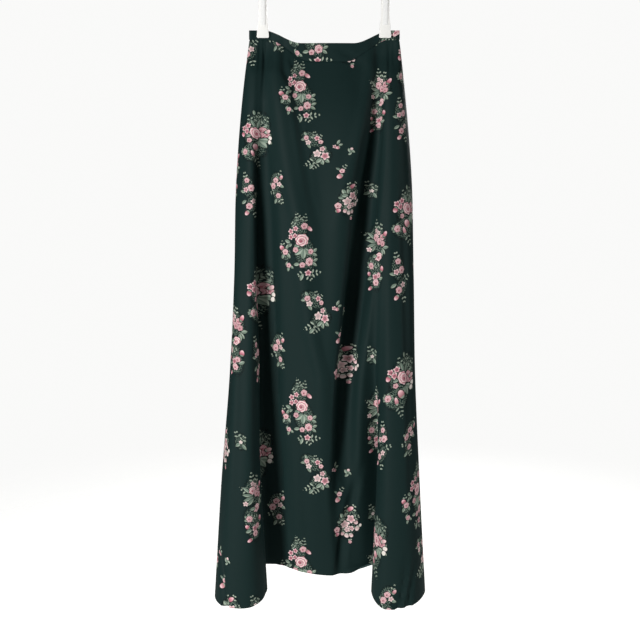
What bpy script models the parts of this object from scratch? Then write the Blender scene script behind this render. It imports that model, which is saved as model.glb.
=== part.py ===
# Maxi skirt hung by its waistband from a plain clip hanger.
# Metres, +Z up, the front faces -Y. The origin is the underside of the hook's top,
# where the hook rests on a rod.

import math

import bmesh
import bpy
import numpy as np

MM = 0.001

# Hanger: one moulded piece with a fixed hook, a round bar and two back jaws.
HOOK_INNER_RADIUS = 20 * MM
HOOK_ROD_RADIUS = 3.2 * MM
HOOK_TIP_ANGLE = 200  # degrees, anticlockwise from +X as seen from the front
HOOK_NECK_ANGLE = -50
BAR_DROP = 110 * MM  # origin down to the bar's axis
BAR_RADIUS = 4.5 * MM
BAR_HALF_LENGTH = 127 * MM
BOSS_WIDTH, BOSS_DEPTH, BOSS_HEIGHT = 18 * MM, 8 * MM, 20 * MM  # block that joins stem and bar
BOSS_SHOULDER = 14 * MM  # height of the boss where it starts to narrow
HOOK_STEPS, NECK_STEPS, STEM_STEPS, ROD_SIDES = 28, 8, 3, 12
ROUND_SIDES = 24

# Clips: the jaws meet the waistband 12 mm or so below its top edge.
CLIP_OFFSET = 114 * MM  # centre of each clip from the hanger's middle
CLIP_LINE = 172 * MM  # origin down to the top edge of the cloth in the clips
JAW_REACH = 14.5 * MM  # jaw's lower edge below the clip line
JAW_WIDTH_LOW = 23 * MM
JAW_WIDTH_HIGH = 15 * MM
JAW_THICKNESS = 3.8 * MM
JAW_CORNER = 3 * MM
CORNER_STEPS = 4
JAW_TOP_DROP = 116 * MM
PIVOT_DROP = 148 * MM
PIVOT_RADIUS = 3.2 * MM
PIVOT_INSET = 1 * MM  # the pivot rib is this much narrower than the jaw at each end
PIVOT_STEPS = 8
SPRING_WIDTH = 9 * MM
SPRING_THICKNESS = 0.8 * MM
SPRING_END_DROP = 163 * MM
SPRING_STEPS = 14

# Cloth
GAP = 0.3 * MM
PANEL_THICKNESS = 1.5 * MM
BAND_THICKNESS = 2.2 * MM
PINCHED_DEPTH = 1.4 * MM  # middle of one band layer from the clips' centre plane
JAW_FACE = PINCHED_DEPTH + BAND_THICKNESS / 2 + GAP

# Waistband edges, measured down from the clip line (mm): the band sags between the clips.
BAND_TOP = {"at_clip": 0.5, "sag": 24.0, "centre": 6.0, "flat_to": 0.45, "rise_to": 1.10}
BAND_SEAM = {"at_clip": 18.0, "sag": 40.0, "centre": 8.0, "flat_to": 0.30, "rise_to": 1.05}
SAG_HALF_SPAN = 108.0
BAND_LEAN = 0.86  # depth of the top edge as a share of the depth at the seam
PINCH_ACROSS = (13.5, 34.0)  # mm from a clip's middle: fully pressed, then free
PINCH_BELOW = (20.0, 85.0)  # mm below the clip line, likewise

# Levels down the cloth, as a share of the way from waist seam to hem.
LEVELS = {"waist": 0.0, "high_hip": 0.09, "hip": 0.25, "thigh": 0.41, "knee": 0.59, "calf": 0.77, "hem": 1.0}

# One row for each fold line, in order round the skirt from the left side seam along the front
# to the right seam, and home along the back, all in mm: how far the hem hangs below the clip
# line, then across and depth at each of the seven levels, from waist to hem.
FOLDS = {
    "left_seam": (1090, -139.5, 0, -152, 0, -167, 0, -172, 2, -180, 3, -195, 3, -211, 4),
    "front_left_side": (1098, -137, -3.5, -149, -20, -163, -24, -170, -22, -182, -26, -199, -32, -216, -38),
    "front_left_outer": (1100, -133, -5.5, -141, -32, -150, -43, -156, -45, -167, -58, -181, -72, -193, -82),
    "front_left_roll": (1097, -127, -6, -130, -37, -134, -50, -138, -52, -140, -66, -142, -82, -139, -90),
    "front_left_inner": (1080, -121, -5, -121, -36, -124, -46, -127, -45, -127, -46, -124, -50, -112, -52),
    "front_left_neck": (1042, -115, -4, -113, -35, -114, -40, -118, -34, -121, -24, -126, -14, -120, -8),
    "front_left_deep": (1044, -104, -4, -102, -40, -100, -46, -99, -41, -100, -28, -98, -18, -84, -10),
    "front_left_crest": (1054, -86, -9, -70, -52, -48, -66, -36, -66, -23, -60, -27, -46, -32, -22),
    "front_dip": (1057, -50, -15, -38, -50, -12, -61, -4, -64, 0, -63, 0, -49, 0, -26),
    "front_right_crest": (1057, 32, -19, 58, -53, 41, -68, 28, -67, 19, -61, 19, -48, 24, -26),
    "front_right_foot": (1054, 72, -12, 98, -36, 83, -43, 68, -43, 42, -48, 40, -40, 52, -20),
    "front_right_hump": (1050, 93, -6, 104, -35, 94, -43, 82, -44, 66, -50, 70, -38, 78, -17),
    "front_right_neck": (1044, 104, -4, 112, -38, 105, -50, 101, -53, 97, -46, 108, -19, 110, -8),
    "front_right_inner": (1080, 117, -5, 120, -41, 114, -55, 111, -60, 106, -60, 103, -54, 93, -52),
    "front_right_roll": (1101, 125, -6, 129, -41, 127, -58, 125, -65, 121, -76, 119, -85, 115, -90),
    "front_right_outer": (1094, 133, -5.5, 141, -35, 149, -48, 153, -56, 155, -72, 160, -84, 171, -89),
    "front_right_side": (1085, 138.5, -3.5, 149, -20, 162, -26, 169, -31, 174, -38, 184, -42, 199, -44),
    "right_seam": (1082, 141, 0, 152, 0, 167, 0, 171, 2, 174, 4, 182, 4, 195, 4),
    "back_right_side": (1084, 137, 3.5, 148, 20, 161, 28, 167, 30, 171, 36, 182, 40, 197, 46),
    "back_right_outer": (1092, 131, 6, 139, 32, 147, 46, 149, 52, 152, 62, 160, 74, 170, 82),
    "back_right_roll": (1090, 123, 6, 126, 38, 128, 52, 127, 58, 126, 67, 128, 77, 132, 84),
    "back_right_inner": (1074, 110, 4, 106, 40, 104, 50, 101, 53, 102, 56, 106, 58, 106, 58),
    "back_right_neck": (1052, 84, 9, 82, 38, 76, 43, 76, 42, 82, 36, 90, 26, 100, 18),
    "back_right_crest": (1058, 42, 15, 38, 46, 34, 58, 32, 60, 36, 56, 42, 46, 48, 32),
    "back_dip": (1060, 0, 17, -4, 44, -6, 51, -6, 50, -6, 46, -8, 38, -8, 24),
    "back_left_crest": (1060, -44, 15, -44, 48, -44, 61, -46, 63, -50, 61, -54, 52, -60, 38),
    "back_left_neck": (1050, -86, 9, -88, 38, -86, 42, -90, 40, -100, 34, -110, 26, -120, 17),
    "back_left_inner": (1074, -110, 4, -110, 40, -110, 50, -112, 54, -118, 58, -122, 62, -124, 64),
    "back_left_roll": (1092, -123, 6, -127, 38, -130, 52, -133, 59, -139, 70, -146, 82, -152, 90),
    "back_left_outer": (1098, -131, 6, -140, 32, -151, 46, -156, 52, -166, 62, -180, 74, -192, 84),
    "back_left_side": (1092, -136.5, 3.5, -149, 20, -163, 28, -169, 30, -180, 36, -196, 42, -214, 48),
}
COLUMNS_PER_FOLD = 3
PANEL_ROWS = (0.0, 0.015, 0.035, 0.06, 0.09, 0.13, 0.17, 0.21, 0.25, 0.30, 0.355, 0.41, 0.47, 0.53, 0.59,
              0.65, 0.71, 0.77, 0.83, 0.89, 0.945, 1.0)
BAND_ROWS = (0.0, 0.35, 0.7, 1.0)

COLOURS = {  # linear colour, roughness, metallic
    "cloth": ((0.012, 0.028, 0.027), 0.6, 0.0),
    "plastic": ((0.80, 0.80, 0.78), 0.35, 0.0),
    "steel": ((0.82, 0.82, 0.80), 0.3, 0.0),
}


def smooth_step(low, high, value):
    share = np.clip((value - low) / (high - low), 0.0, 1.0)
    return share * share * (3 - 2 * share)


def curve_through(knots, values, at):
    # Cubic curve through the values, its slope at each knot taken from the neighbours.
    slopes = np.gradient(values, knots, axis=0)
    left = np.clip(np.searchsorted(knots, at, side="right") - 1, 0, len(knots) - 2)
    width = knots[left + 1] - knots[left]
    share = ((at - knots[left]) / width)[:, None]
    width = width[:, None]
    return (values[left] * (1 + 2 * share) * (1 - share) ** 2
            + slopes[left] * width * share * (1 - share) ** 2
            + values[left + 1] * share ** 2 * (3 - 2 * share)
            + slopes[left + 1] * width * share ** 2 * (share - 1))


def fold_points(share):
    # Every fold line's (x, y) at one share of the way down, in mm.
    knots = np.array(list(LEVELS.values()))
    places = np.array([row[1:] for row in FOLDS.values()], dtype=float).reshape(len(FOLDS), len(knots), 2)
    levels = places.transpose(1, 0, 2).reshape(len(knots), -1)
    return curve_through(knots, levels, np.array([share])).reshape(-1, 2)


def round_the_skirt(points, extra=None):
    # Closed smooth curve through one level's fold points, sampled between each fold and the next.
    values = points if extra is None else np.column_stack([points, extra])
    lap = len(points)
    wrapped = np.concatenate([values[-3:], values, values[:4]])
    steps = np.linalg.norm(np.diff(wrapped[:, :2], axis=0), axis=1)
    knots = np.concatenate([[0.0], np.cumsum(np.sqrt(steps))])
    at = []
    for fold in range(3, 3 + lap):
        for column in range(COLUMNS_PER_FOLD):
            at.append(knots[fold] + (knots[fold + 1] - knots[fold]) * column / COLUMNS_PER_FOLD)
    return curve_through(knots, wrapped, np.array(at))


def band_edge(edge, across):
    # Depth below the clip line of the waistband's top edge or of its seam.
    reach = np.abs(across - edge["centre"]) / SAG_HALF_SPAN
    return edge["at_clip"] + edge["sag"] * (1 - smooth_step(edge["flat_to"], edge["rise_to"], reach))


def pinch(points):
    # Presses front and back together in the clips and lets them part below.
    across = np.abs(np.abs(points[:, 0]) - CLIP_OFFSET / MM)
    below = -points[:, 2] - CLIP_LINE / MM
    hold = (1 - smooth_step(*PINCH_ACROSS, across)) * (1 - smooth_step(*PINCH_BELOW, below))
    points[:, 1] += hold * (np.sign(points[:, 1]) * PINCHED_DEPTH / MM - points[:, 1])
    return points


def cloth_row(share, edge_gap=0.0):
    # Middle surface of the skirt at one share of the way from waist seam to hem.
    hem_drops = np.array([row[0] for row in FOLDS.values()], dtype=float)
    waist = round_the_skirt(fold_points(0.0))
    level = round_the_skirt(fold_points(share), hem_drops)
    top = band_edge(BAND_SEAM, waist[:, 0]) + edge_gap
    drop = top + (level[:, 2] - top) * share
    return pinch(np.column_stack([level[:, :2], -CLIP_LINE / MM - drop]))


def band_row(share, edge_gap=0.0):
    # Middle surface of the waistband, from its top edge (0) to its seam (1).
    waist = round_the_skirt(fold_points(0.0))
    top = band_edge(BAND_TOP, waist[:, 0])
    drop = top + (band_edge(BAND_SEAM, waist[:, 0]) - edge_gap - top) * share
    depth = waist[:, 1] * (BAND_LEAN + (1 - BAND_LEAN) * share)
    return pinch(np.column_stack([waist[:, 0], depth, -CLIP_LINE / MM - drop]))


def outward_of(rows):
    # Level unit normals of every row, taken right round so that they agree at the side seams.
    along = np.roll(rows, -1, axis=1) - np.roll(rows, 1, axis=1)
    outward = np.stack([along[:, :, 1], -along[:, :, 0], np.zeros(rows.shape[:2])], axis=2)
    return outward / np.linalg.norm(outward, axis=2)[:, :, None]


def half_of(rows, first_fold, last_fold):
    # The columns from one side seam to the next, with their normals.
    columns = np.arange(first_fold * COLUMNS_PER_FOLD, last_fold * COLUMNS_PER_FOLD + 1) % rows.shape[1]
    half, outward = rows[:, columns], outward_of(rows)[:, columns]
    for end, sign in ((0, 1), (-1, -1)):  # each end is drawn back for the seam's gap
        forward = np.column_stack([-outward[:, end, 1], outward[:, end, 0], outward[:, end, 2]])
        half[:, end] += sign * forward * GAP / 2
    return half, outward


def material_for(name):
    colour, roughness, metallic = COLOURS[name]
    material = bpy.data.materials.get(name) or bpy.data.materials.new(name)
    material.use_nodes = True
    shader = material.node_tree.nodes["Principled BSDF"]
    shader.inputs["Base Color"].default_value = (*colour, 1.0)
    shader.inputs["Roughness"].default_value = roughness
    shader.inputs["Metallic"].default_value = metallic
    return material


def object_from(name, mesh_maker, material_name, cutter=False):
    form = bmesh.new()
    mesh_maker(form)
    bmesh.ops.recalc_face_normals(form, faces=form.faces)
    mesh = bpy.data.meshes.new(name)
    form.to_mesh(mesh)
    form.free()
    mesh.materials.append(material_for(material_name))
    mesh.shade_smooth()
    mesh.set_sharp_from_angle(angle=math.radians(35))
    piece = bpy.data.objects.new(name, mesh)
    bpy.context.scene.collection.objects.link(piece)
    if cutter:
        piece.hide_render = True
        piece.display_type = "WIRE"
    return piece


def cloth_wall(name, middle, outward, thickness):
    reach = outward * thickness / 2
    rows, columns = middle.shape[:2]

    def make(form):
        outer, inner = ([[form.verts.new(point) for point in row] for row in sheet]
                        for sheet in (middle + reach, middle - reach))
        for row in range(rows - 1):
            for column in range(columns - 1):
                for sheet in (outer, inner):
                    form.faces.new((sheet[row][column], sheet[row][column + 1],
                                    sheet[row + 1][column + 1], sheet[row + 1][column]))
            for column in (0, columns - 1):
                form.faces.new((outer[row][column], inner[row][column],
                                inner[row + 1][column], outer[row + 1][column]))
        for column in range(columns - 1):
            for row in (0, rows - 1):
                form.faces.new((outer[row][column], outer[row][column + 1],
                                inner[row][column + 1], inner[row][column]))

    return object_from(name, make, "cloth")


def tube(path, radius, sides):
    # Maker for a round rod along a path that stays in the plane of X and Z.
    def make(form):
        rings = []
        for index, point in enumerate(path):
            before, after = path[max(index - 1, 0)], path[min(index + 1, len(path) - 1)]
            heading = math.atan2(after[1] - before[1], after[0] - before[0])
            ring = []
            for side in range(sides):
                turn = 2 * math.pi * side / sides
                reach = radius * math.cos(turn)
                ring.append(form.verts.new((point[0] - reach * math.sin(heading), radius * math.sin(turn),
                                            point[1] + reach * math.cos(heading))))
            rings.append(ring)
        for ring, following in zip(rings, rings[1:]):
            for side in range(sides):
                form.faces.new((ring[side], ring[(side + 1) % sides],
                                following[(side + 1) % sides], following[side]))
        form.faces.new(rings[0])
        form.faces.new(rings[-1])
    return make


def slab(outline, low, high, axis):
    # Maker for a plate: an outline pushed from low to high along Y or X.
    def make(form):
        def corner(point, level):
            return (point[0], level, point[1]) if axis == "Y" else (level, point[0], point[1])
        near, far = ([form.verts.new(corner(point, level)) for point in outline] for level in (low, high))
        form.faces.new(near)
        form.faces.new(list(reversed(far)))
        for index in range(len(outline)):
            after = (index + 1) % len(outline)
            form.faces.new((near[index], near[after], far[after], far[index]))
    return make


def arc(centre, radius, start, end, steps):
    turns = (math.radians(start + (end - start) * step / steps) for step in range(steps + 1))
    return [(centre[0] + radius * math.cos(turn), centre[1] + radius * math.sin(turn)) for turn in turns]


def hook_path():
    # Tip, round bowl, then a turn the other way into the straight stem.
    radius = HOOK_INNER_RADIUS + HOOK_ROD_RADIUS
    centre = (0.0, -HOOK_INNER_RADIUS)
    bowl = arc(centre, radius, HOOK_TIP_ANGLE, HOOK_NECK_ANGLE, HOOK_STEPS)
    lean = math.radians(-HOOK_NECK_ANGLE)
    neck_radius = radius * math.cos(lean) / (1 - math.cos(lean))
    neck_centre = (neck_radius, centre[1] - radius * math.sin(lean) - neck_radius * math.sin(lean))
    neck = arc(neck_centre, neck_radius, 180 + HOOK_NECK_ANGLE, 180, NECK_STEPS)
    return bowl, neck, neck_centre[1]


def jaw_outline(centre, top_drop):
    low = -(CLIP_LINE + JAW_REACH)
    half_low, half_high = JAW_WIDTH_LOW / 2, JAW_WIDTH_HIGH / 2
    left = arc((centre - half_low + JAW_CORNER, low + JAW_CORNER), JAW_CORNER, 180, 270, CORNER_STEPS)
    right = arc((centre + half_low - JAW_CORNER, low + JAW_CORNER), JAW_CORNER, 270, 360, CORNER_STEPS)
    shoulder = -(PIVOT_DROP - PIVOT_RADIUS)
    return ([(centre - half_high, -top_drop), (centre - half_high, shoulder)] + left
            + right + [(centre + half_high, shoulder), (centre + half_high, -top_drop)])


def union(piece, others):
    for other in others:
        join = piece.modifiers.new("join_" + other.name, "BOOLEAN")
        join.operation = "UNION"
        join.solver = "EXACT"
        join.object = other
    return piece


def build_hanger():
    bowl, neck, stem_top = hook_path()
    path = bowl + [point for point in neck if abs(point[1] - bowl[-1][1]) > 1e-6]
    path += [(0.0, stem_top - (BAR_DROP + stem_top) * (step + 1) / STEM_STEPS) for step in range(STEM_STEPS)]
    hook = object_from("hook_rod", tube(path, HOOK_ROD_RADIUS, ROD_SIDES), "plastic", cutter=True)
    half, shoulder = BOSS_WIDTH / 2, BOSS_WIDTH / 3
    boss_outline = [(-half, -BAR_DROP), (-shoulder, -BAR_DROP + BOSS_SHOULDER),
                    (0.0, -BAR_DROP + BOSS_HEIGHT),
                    (shoulder, -BAR_DROP + BOSS_SHOULDER), (half, -BAR_DROP)]
    boss_plate = slab(boss_outline, -BOSS_DEPTH / 2, BOSS_DEPTH / 2, "Y")
    boss = object_from("boss", boss_plate, "plastic", cutter=True)
    jaws = [object_from(f"back_jaw_{side}", slab(jaw_outline(centre, BAR_DROP), JAW_FACE,
                                                 JAW_FACE + JAW_THICKNESS, "Y"), "plastic", cutter=True)
            for side, centre in (("left", -CLIP_OFFSET), ("right", CLIP_OFFSET))]
    bar_path = [(-BAR_HALF_LENGTH, -BAR_DROP), (BAR_HALF_LENGTH, -BAR_DROP)]
    bar = object_from("hanger_frame", tube(bar_path, BAR_RADIUS, ROUND_SIDES), "plastic")
    union(bar, [boss, hook] + jaws)


def build_clip(side, centre):
    jaw = object_from(f"clip_jaw_{side}", slab(jaw_outline(centre, JAW_TOP_DROP), -JAW_FACE - JAW_THICKNESS,
                                               -JAW_FACE, "Y"), "plastic")
    half = JAW_WIDTH_HIGH / 2 - PIVOT_INSET
    rib_outline = ([(-JAW_FACE - JAW_THICKNESS / 2, -PIVOT_DROP + PIVOT_RADIUS)]
                   + [(JAW_FACE - GAP - PIVOT_RADIUS + y, -PIVOT_DROP + z)
                      for y, z in arc((0, 0), PIVOT_RADIUS, 90, -90, PIVOT_STEPS)]
                   + [(-JAW_FACE - JAW_THICKNESS / 2, -PIVOT_DROP - PIVOT_RADIUS)])
    rib = object_from(f"pivot_rib_{side}", slab(rib_outline, centre - half, centre + half, "X"),
                      "plastic", cutter=True)
    union(jaw, [rib])
    inside = JAW_FACE + JAW_THICKNESS + GAP
    bend = arc((0.0, -BAR_DROP), inside + SPRING_THICKNESS, 180, 0, SPRING_STEPS)
    hollow = arc((0.0, -BAR_DROP), inside, 0, 180, SPRING_STEPS)
    strip = ([(-inside - SPRING_THICKNESS, -SPRING_END_DROP)] + bend
             + [(inside + SPRING_THICKNESS, -SPRING_END_DROP), (inside, -SPRING_END_DROP)] + hollow
             + [(-inside, -SPRING_END_DROP)])
    object_from(f"clip_spring_{side}", slab(strip, centre - SPRING_WIDTH / 2, centre + SPRING_WIDTH / 2, "X"),
                "steel")


def build_skirt():
    names = list(FOLDS)
    right = names.index("right_seam")
    halves = {"front": (0, right), "back": (right, len(names))}
    panel_rows = np.array([cloth_row(share, GAP / MM / 2) for share in PANEL_ROWS]) * MM
    band_rows = np.array([band_row(share, GAP / MM / 2) for share in BAND_ROWS]) * MM
    for side, (first, last) in halves.items():
        cloth_wall(f"{side}_panel", *half_of(panel_rows, first, last), PANEL_THICKNESS)
        cloth_wall(f"{side}_waistband", *half_of(band_rows, first, last), BAND_THICKNESS)


for old in list(bpy.data.objects):
    bpy.data.objects.remove(old, do_unlink=True)
build_skirt()
build_hanger()
build_clip("left", -CLIP_OFFSET)
build_clip("right", CLIP_OFFSET)
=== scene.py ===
# Maxi skirt of printed crepe satin, pinned by its waistband in a moulded clip hanger.
# Metres, +Z up, the front faces -Y. Tables of the cloth are in millimetres: across, depth, and
# drop, which is measured down from the line that the clips hold.
import math

import bmesh
import bpy
import numpy as np
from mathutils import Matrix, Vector


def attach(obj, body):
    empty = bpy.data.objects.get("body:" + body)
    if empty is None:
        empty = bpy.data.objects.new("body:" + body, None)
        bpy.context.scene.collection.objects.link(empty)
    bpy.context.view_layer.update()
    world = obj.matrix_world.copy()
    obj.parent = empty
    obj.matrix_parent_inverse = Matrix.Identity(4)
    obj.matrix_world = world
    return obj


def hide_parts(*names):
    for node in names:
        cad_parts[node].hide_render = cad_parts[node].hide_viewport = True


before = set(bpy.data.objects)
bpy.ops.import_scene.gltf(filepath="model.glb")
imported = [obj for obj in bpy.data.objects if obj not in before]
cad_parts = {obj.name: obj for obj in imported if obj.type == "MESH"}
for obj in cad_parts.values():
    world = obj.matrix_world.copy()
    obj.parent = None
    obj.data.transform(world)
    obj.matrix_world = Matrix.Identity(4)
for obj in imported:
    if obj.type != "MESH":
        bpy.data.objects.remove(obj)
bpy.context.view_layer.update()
mm = 0.001


def linear(hexColour):
    # sRGB hex to the linear colour that shaders take.
    channels = [int(hexColour[start:start + 2], 16) / 255 for start in (1, 3, 5)]
    return [c / 12.92 if c <= 0.04045 else ((c + 0.055) / 1.055) ** 2.4 for c in channels] + [1.0]


def addNode(tree, kind, inputs=None, stops=None, **settings):
    # One node with its settings, constants and links; stops fill a colour ramp.
    node = tree.nodes.new(kind)
    for name, value in settings.items():
        setattr(node, name, value)
    for socket, value in (inputs or {}).items():
        if isinstance(value, bpy.types.NodeSocket):
            tree.links.new(value, node.inputs[socket])
        else:
            node.inputs[socket].default_value = value
    if stops:
        ramp = node.color_ramp
        while len(ramp.elements) < len(stops):
            ramp.elements.new(1.0)
        for element, (place, colour) in zip(ramp.elements, stops):
            element.position, element.color = place, linear(colour)
    return node


def smoothStep(low, high, value):
    share = np.clip((value - low) / (high - low), 0.0, 1.0)
    return share * share * (3 - 2 * share)


# The cloth's form: fold lines down the skirt, joined round each level by a smooth curve

clothForm = {
    "clipLine": 172.0, "clipOffset": 114.0, "pinchedDepth": 1.4,
    "bandLean": 0.86,  # depth of the band's top edge as a share of its depth at the seam
    "sagHalfSpan": 108.0,
    "bandTop": {"atClip": 0.5, "sag": 24.0, "centre": 6.0, "flatTo": 0.45, "riseTo": 1.10},
    "bandSeam": {"atClip": 18.0, "sag": 40.0, "centre": 8.0, "flatTo": 0.30, "riseTo": 1.05},
    "pinchAcross": (13.5, 34.0), "pinchBelow": (20.0, 85.0),
}
foldLevels = (0.0, 0.09, 0.25, 0.41, 0.59, 0.77, 1.0)  # share of the way from waist seam to hem

# A row for each fold line, in order round the skirt from the left side seam along the front and
# home along the back: the hem's drop, then across and depth at each of the seven levels.
foldLines = {
    "leftSeam": (1090, -139.5, 0, -152, 0, -167, 0, -172, 2, -180, 3, -195, 3, -211, 4),
    "frontLeftSide": (1098, -137, -3.5, -149, -20, -163, -24, -170, -22, -182, -26, -199, -32, -216, -38),
    "frontLeftOuter": (1100, -133, -5.5, -141, -32, -150, -43, -156, -45, -167, -58, -181, -72, -193, -82),
    "frontLeftRoll": (1097, -127, -6, -130, -37, -134, -50, -138, -52, -140, -66, -142, -82, -139, -90),
    "frontLeftInner": (1080, -121, -5, -121, -36, -124, -46, -127, -45, -127, -46, -124, -50, -112, -52),
    "frontLeftNeck": (1042, -115, -4, -113, -35, -114, -40, -118, -34, -121, -24, -126, -14, -120, -8),
    "frontLeftDeep": (1044, -104, -4, -102, -40, -100, -46, -99, -41, -100, -28, -98, -18, -84, -10),
    "frontLeftCrest": (1054, -86, -9, -70, -52, -48, -66, -36, -66, -23, -60, -27, -46, -32, -22),
    "frontDip": (1057, -50, -15, -38, -50, -12, -61, -4, -64, 0, -63, 0, -49, 0, -26),
    "frontRightCrest": (1057, 32, -19, 58, -53, 41, -68, 28, -67, 19, -61, 19, -48, 24, -26),
    "frontRightFoot": (1054, 72, -12, 98, -36, 83, -43, 68, -43, 42, -48, 40, -40, 52, -20),
    "frontRightHump": (1050, 93, -6, 104, -35, 94, -43, 82, -44, 66, -50, 70, -38, 78, -17),
    "frontRightNeck": (1044, 104, -4, 112, -38, 105, -50, 101, -53, 97, -46, 108, -19, 110, -8),
    "frontRightInner": (1080, 117, -5, 120, -41, 114, -55, 111, -60, 106, -60, 103, -54, 93, -52),
    "frontRightRoll": (1101, 125, -6, 129, -41, 127, -58, 125, -65, 121, -76, 119, -85, 115, -90),
    "frontRightOuter": (1094, 133, -5.5, 141, -35, 149, -48, 153, -56, 155, -72, 160, -84, 171, -89),
    "frontRightSide": (1085, 138.5, -3.5, 149, -20, 162, -26, 169, -31, 174, -38, 184, -42, 199, -44),
    "rightSeam": (1082, 141, 0, 152, 0, 167, 0, 171, 2, 174, 4, 182, 4, 195, 4),
    "backRightSide": (1084, 137, 3.5, 148, 20, 161, 28, 167, 30, 171, 36, 182, 40, 197, 46),
    "backRightOuter": (1092, 131, 6, 139, 32, 147, 46, 149, 52, 152, 62, 160, 74, 170, 82),
    "backRightRoll": (1090, 123, 6, 126, 38, 128, 52, 127, 58, 126, 67, 128, 77, 132, 84),
    "backRightInner": (1074, 110, 4, 106, 40, 104, 50, 101, 53, 102, 56, 106, 58, 106, 58),
    "backRightNeck": (1052, 84, 9, 82, 38, 76, 43, 76, 42, 82, 36, 90, 26, 100, 18),
    "backRightCrest": (1058, 42, 15, 38, 46, 34, 58, 32, 60, 36, 56, 42, 46, 48, 32),
    "backDip": (1060, 0, 17, -4, 44, -6, 51, -6, 50, -6, 46, -8, 38, -8, 24),
    "backLeftCrest": (1060, -44, 15, -44, 48, -44, 61, -46, 63, -50, 61, -54, 52, -60, 38),
    "backLeftNeck": (1050, -86, 9, -88, 38, -86, 42, -90, 40, -100, 34, -110, 26, -120, 17),
    "backLeftInner": (1074, -110, 4, -110, 40, -110, 50, -112, 54, -118, 58, -122, 62, -124, 64),
    "backLeftRoll": (1092, -123, 6, -127, 38, -130, 52, -133, 59, -139, 70, -146, 82, -152, 90),
    "backLeftOuter": (1098, -131, 6, -140, 32, -151, 46, -156, 52, -166, 62, -180, 74, -192, 84),
    "backLeftSide": (1092, -136.5, 3.5, -149, 20, -163, 28, -169, 30, -180, 36, -196, 42, -214, 48),
}


def curveThrough(knots, values, at):
    # Cubic curve through the values, its slope at each knot taken from the neighbours.
    slopes = np.gradient(values, knots, axis=0)
    left = np.clip(np.searchsorted(knots, at, side="right") - 1, 0, len(knots) - 2)
    width = knots[left + 1] - knots[left]
    share = ((at - knots[left]) / width)[:, None]
    width = width[:, None]
    return (values[left] * (1 + 2 * share) * (1 - share) ** 2
            + slopes[left] * width * share * (1 - share) ** 2
            + values[left + 1] * share ** 2 * (3 - 2 * share)
            + slopes[left + 1] * width * share ** 2 * (share - 1))


def foldPoints(share):
    table = np.array([row[1:] for row in foldLines.values()], dtype=float).T
    return curveThrough(np.array(foldLevels), table.reshape(len(foldLevels), -1),
                        np.array([share])).reshape(2, -1).T


def roundTheSkirt(points, extra, at):
    # Closed smooth curve through one level's fold points, read at fold positions such as 3.4.
    values = points if extra is None else np.column_stack([points, extra])
    lap = len(points)
    wrapped = np.concatenate([values[-3:], values, values[:4]])
    steps = np.linalg.norm(np.diff(wrapped[:, :2], axis=0), axis=1)
    knots = np.concatenate([[0.0], np.cumsum(np.sqrt(steps))])
    turned = np.mod(at, lap)
    whole = np.floor(turned).astype(int)
    start, end = knots[whole + 3], knots[whole + 4]
    return curveThrough(knots, wrapped, start + (end - start) * (turned - whole))


def bandEdge(edge, across):
    reach = np.abs(across - edge["centre"]) / clothForm["sagHalfSpan"]
    return edge["atClip"] + edge["sag"] * (1 - smoothStep(edge["flatTo"], edge["riseTo"], reach))


def pinch(points):
    # Presses front and back together in the clips and lets them part below.
    across = np.abs(np.abs(points[:, 0]) - clothForm["clipOffset"])
    below = -points[:, 2] - clothForm["clipLine"]
    hold = 1 - smoothStep(*clothForm["pinchAcross"], across)
    hold *= 1 - smoothStep(*clothForm["pinchBelow"], below)
    points[:, 1] += hold * (np.sign(points[:, 1]) * clothForm["pinchedDepth"] - points[:, 1])
    return points


def panelRow(share, at):
    hemDrops = np.array([row[0] for row in foldLines.values()], dtype=float)
    waist = roundTheSkirt(foldPoints(0.0), None, at)
    level = roundTheSkirt(foldPoints(share), hemDrops, at)
    top = bandEdge(clothForm["bandSeam"], waist[:, 0])
    drop = top + (level[:, 2] - top) * share
    return pinch(np.column_stack([level[:, :2], -clothForm["clipLine"] - drop]))


def bandRow(share, at):
    waist = roundTheSkirt(foldPoints(0.0), None, at)
    top = bandEdge(clothForm["bandTop"], waist[:, 0])
    drop = top + (bandEdge(clothForm["bandSeam"], waist[:, 0]) - top) * share
    depth = waist[:, 1] * (clothForm["bandLean"] + (1 - clothForm["bandLean"]) * share)
    return pinch(np.column_stack([waist[:, 0], depth, -clothForm["clipLine"] - drop]))


# Creases: how far each reaches to either side, then its path's points, which
# are (across, drop, depth) in mm, depth out of the cloth for a ridge and into it for a trough

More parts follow.
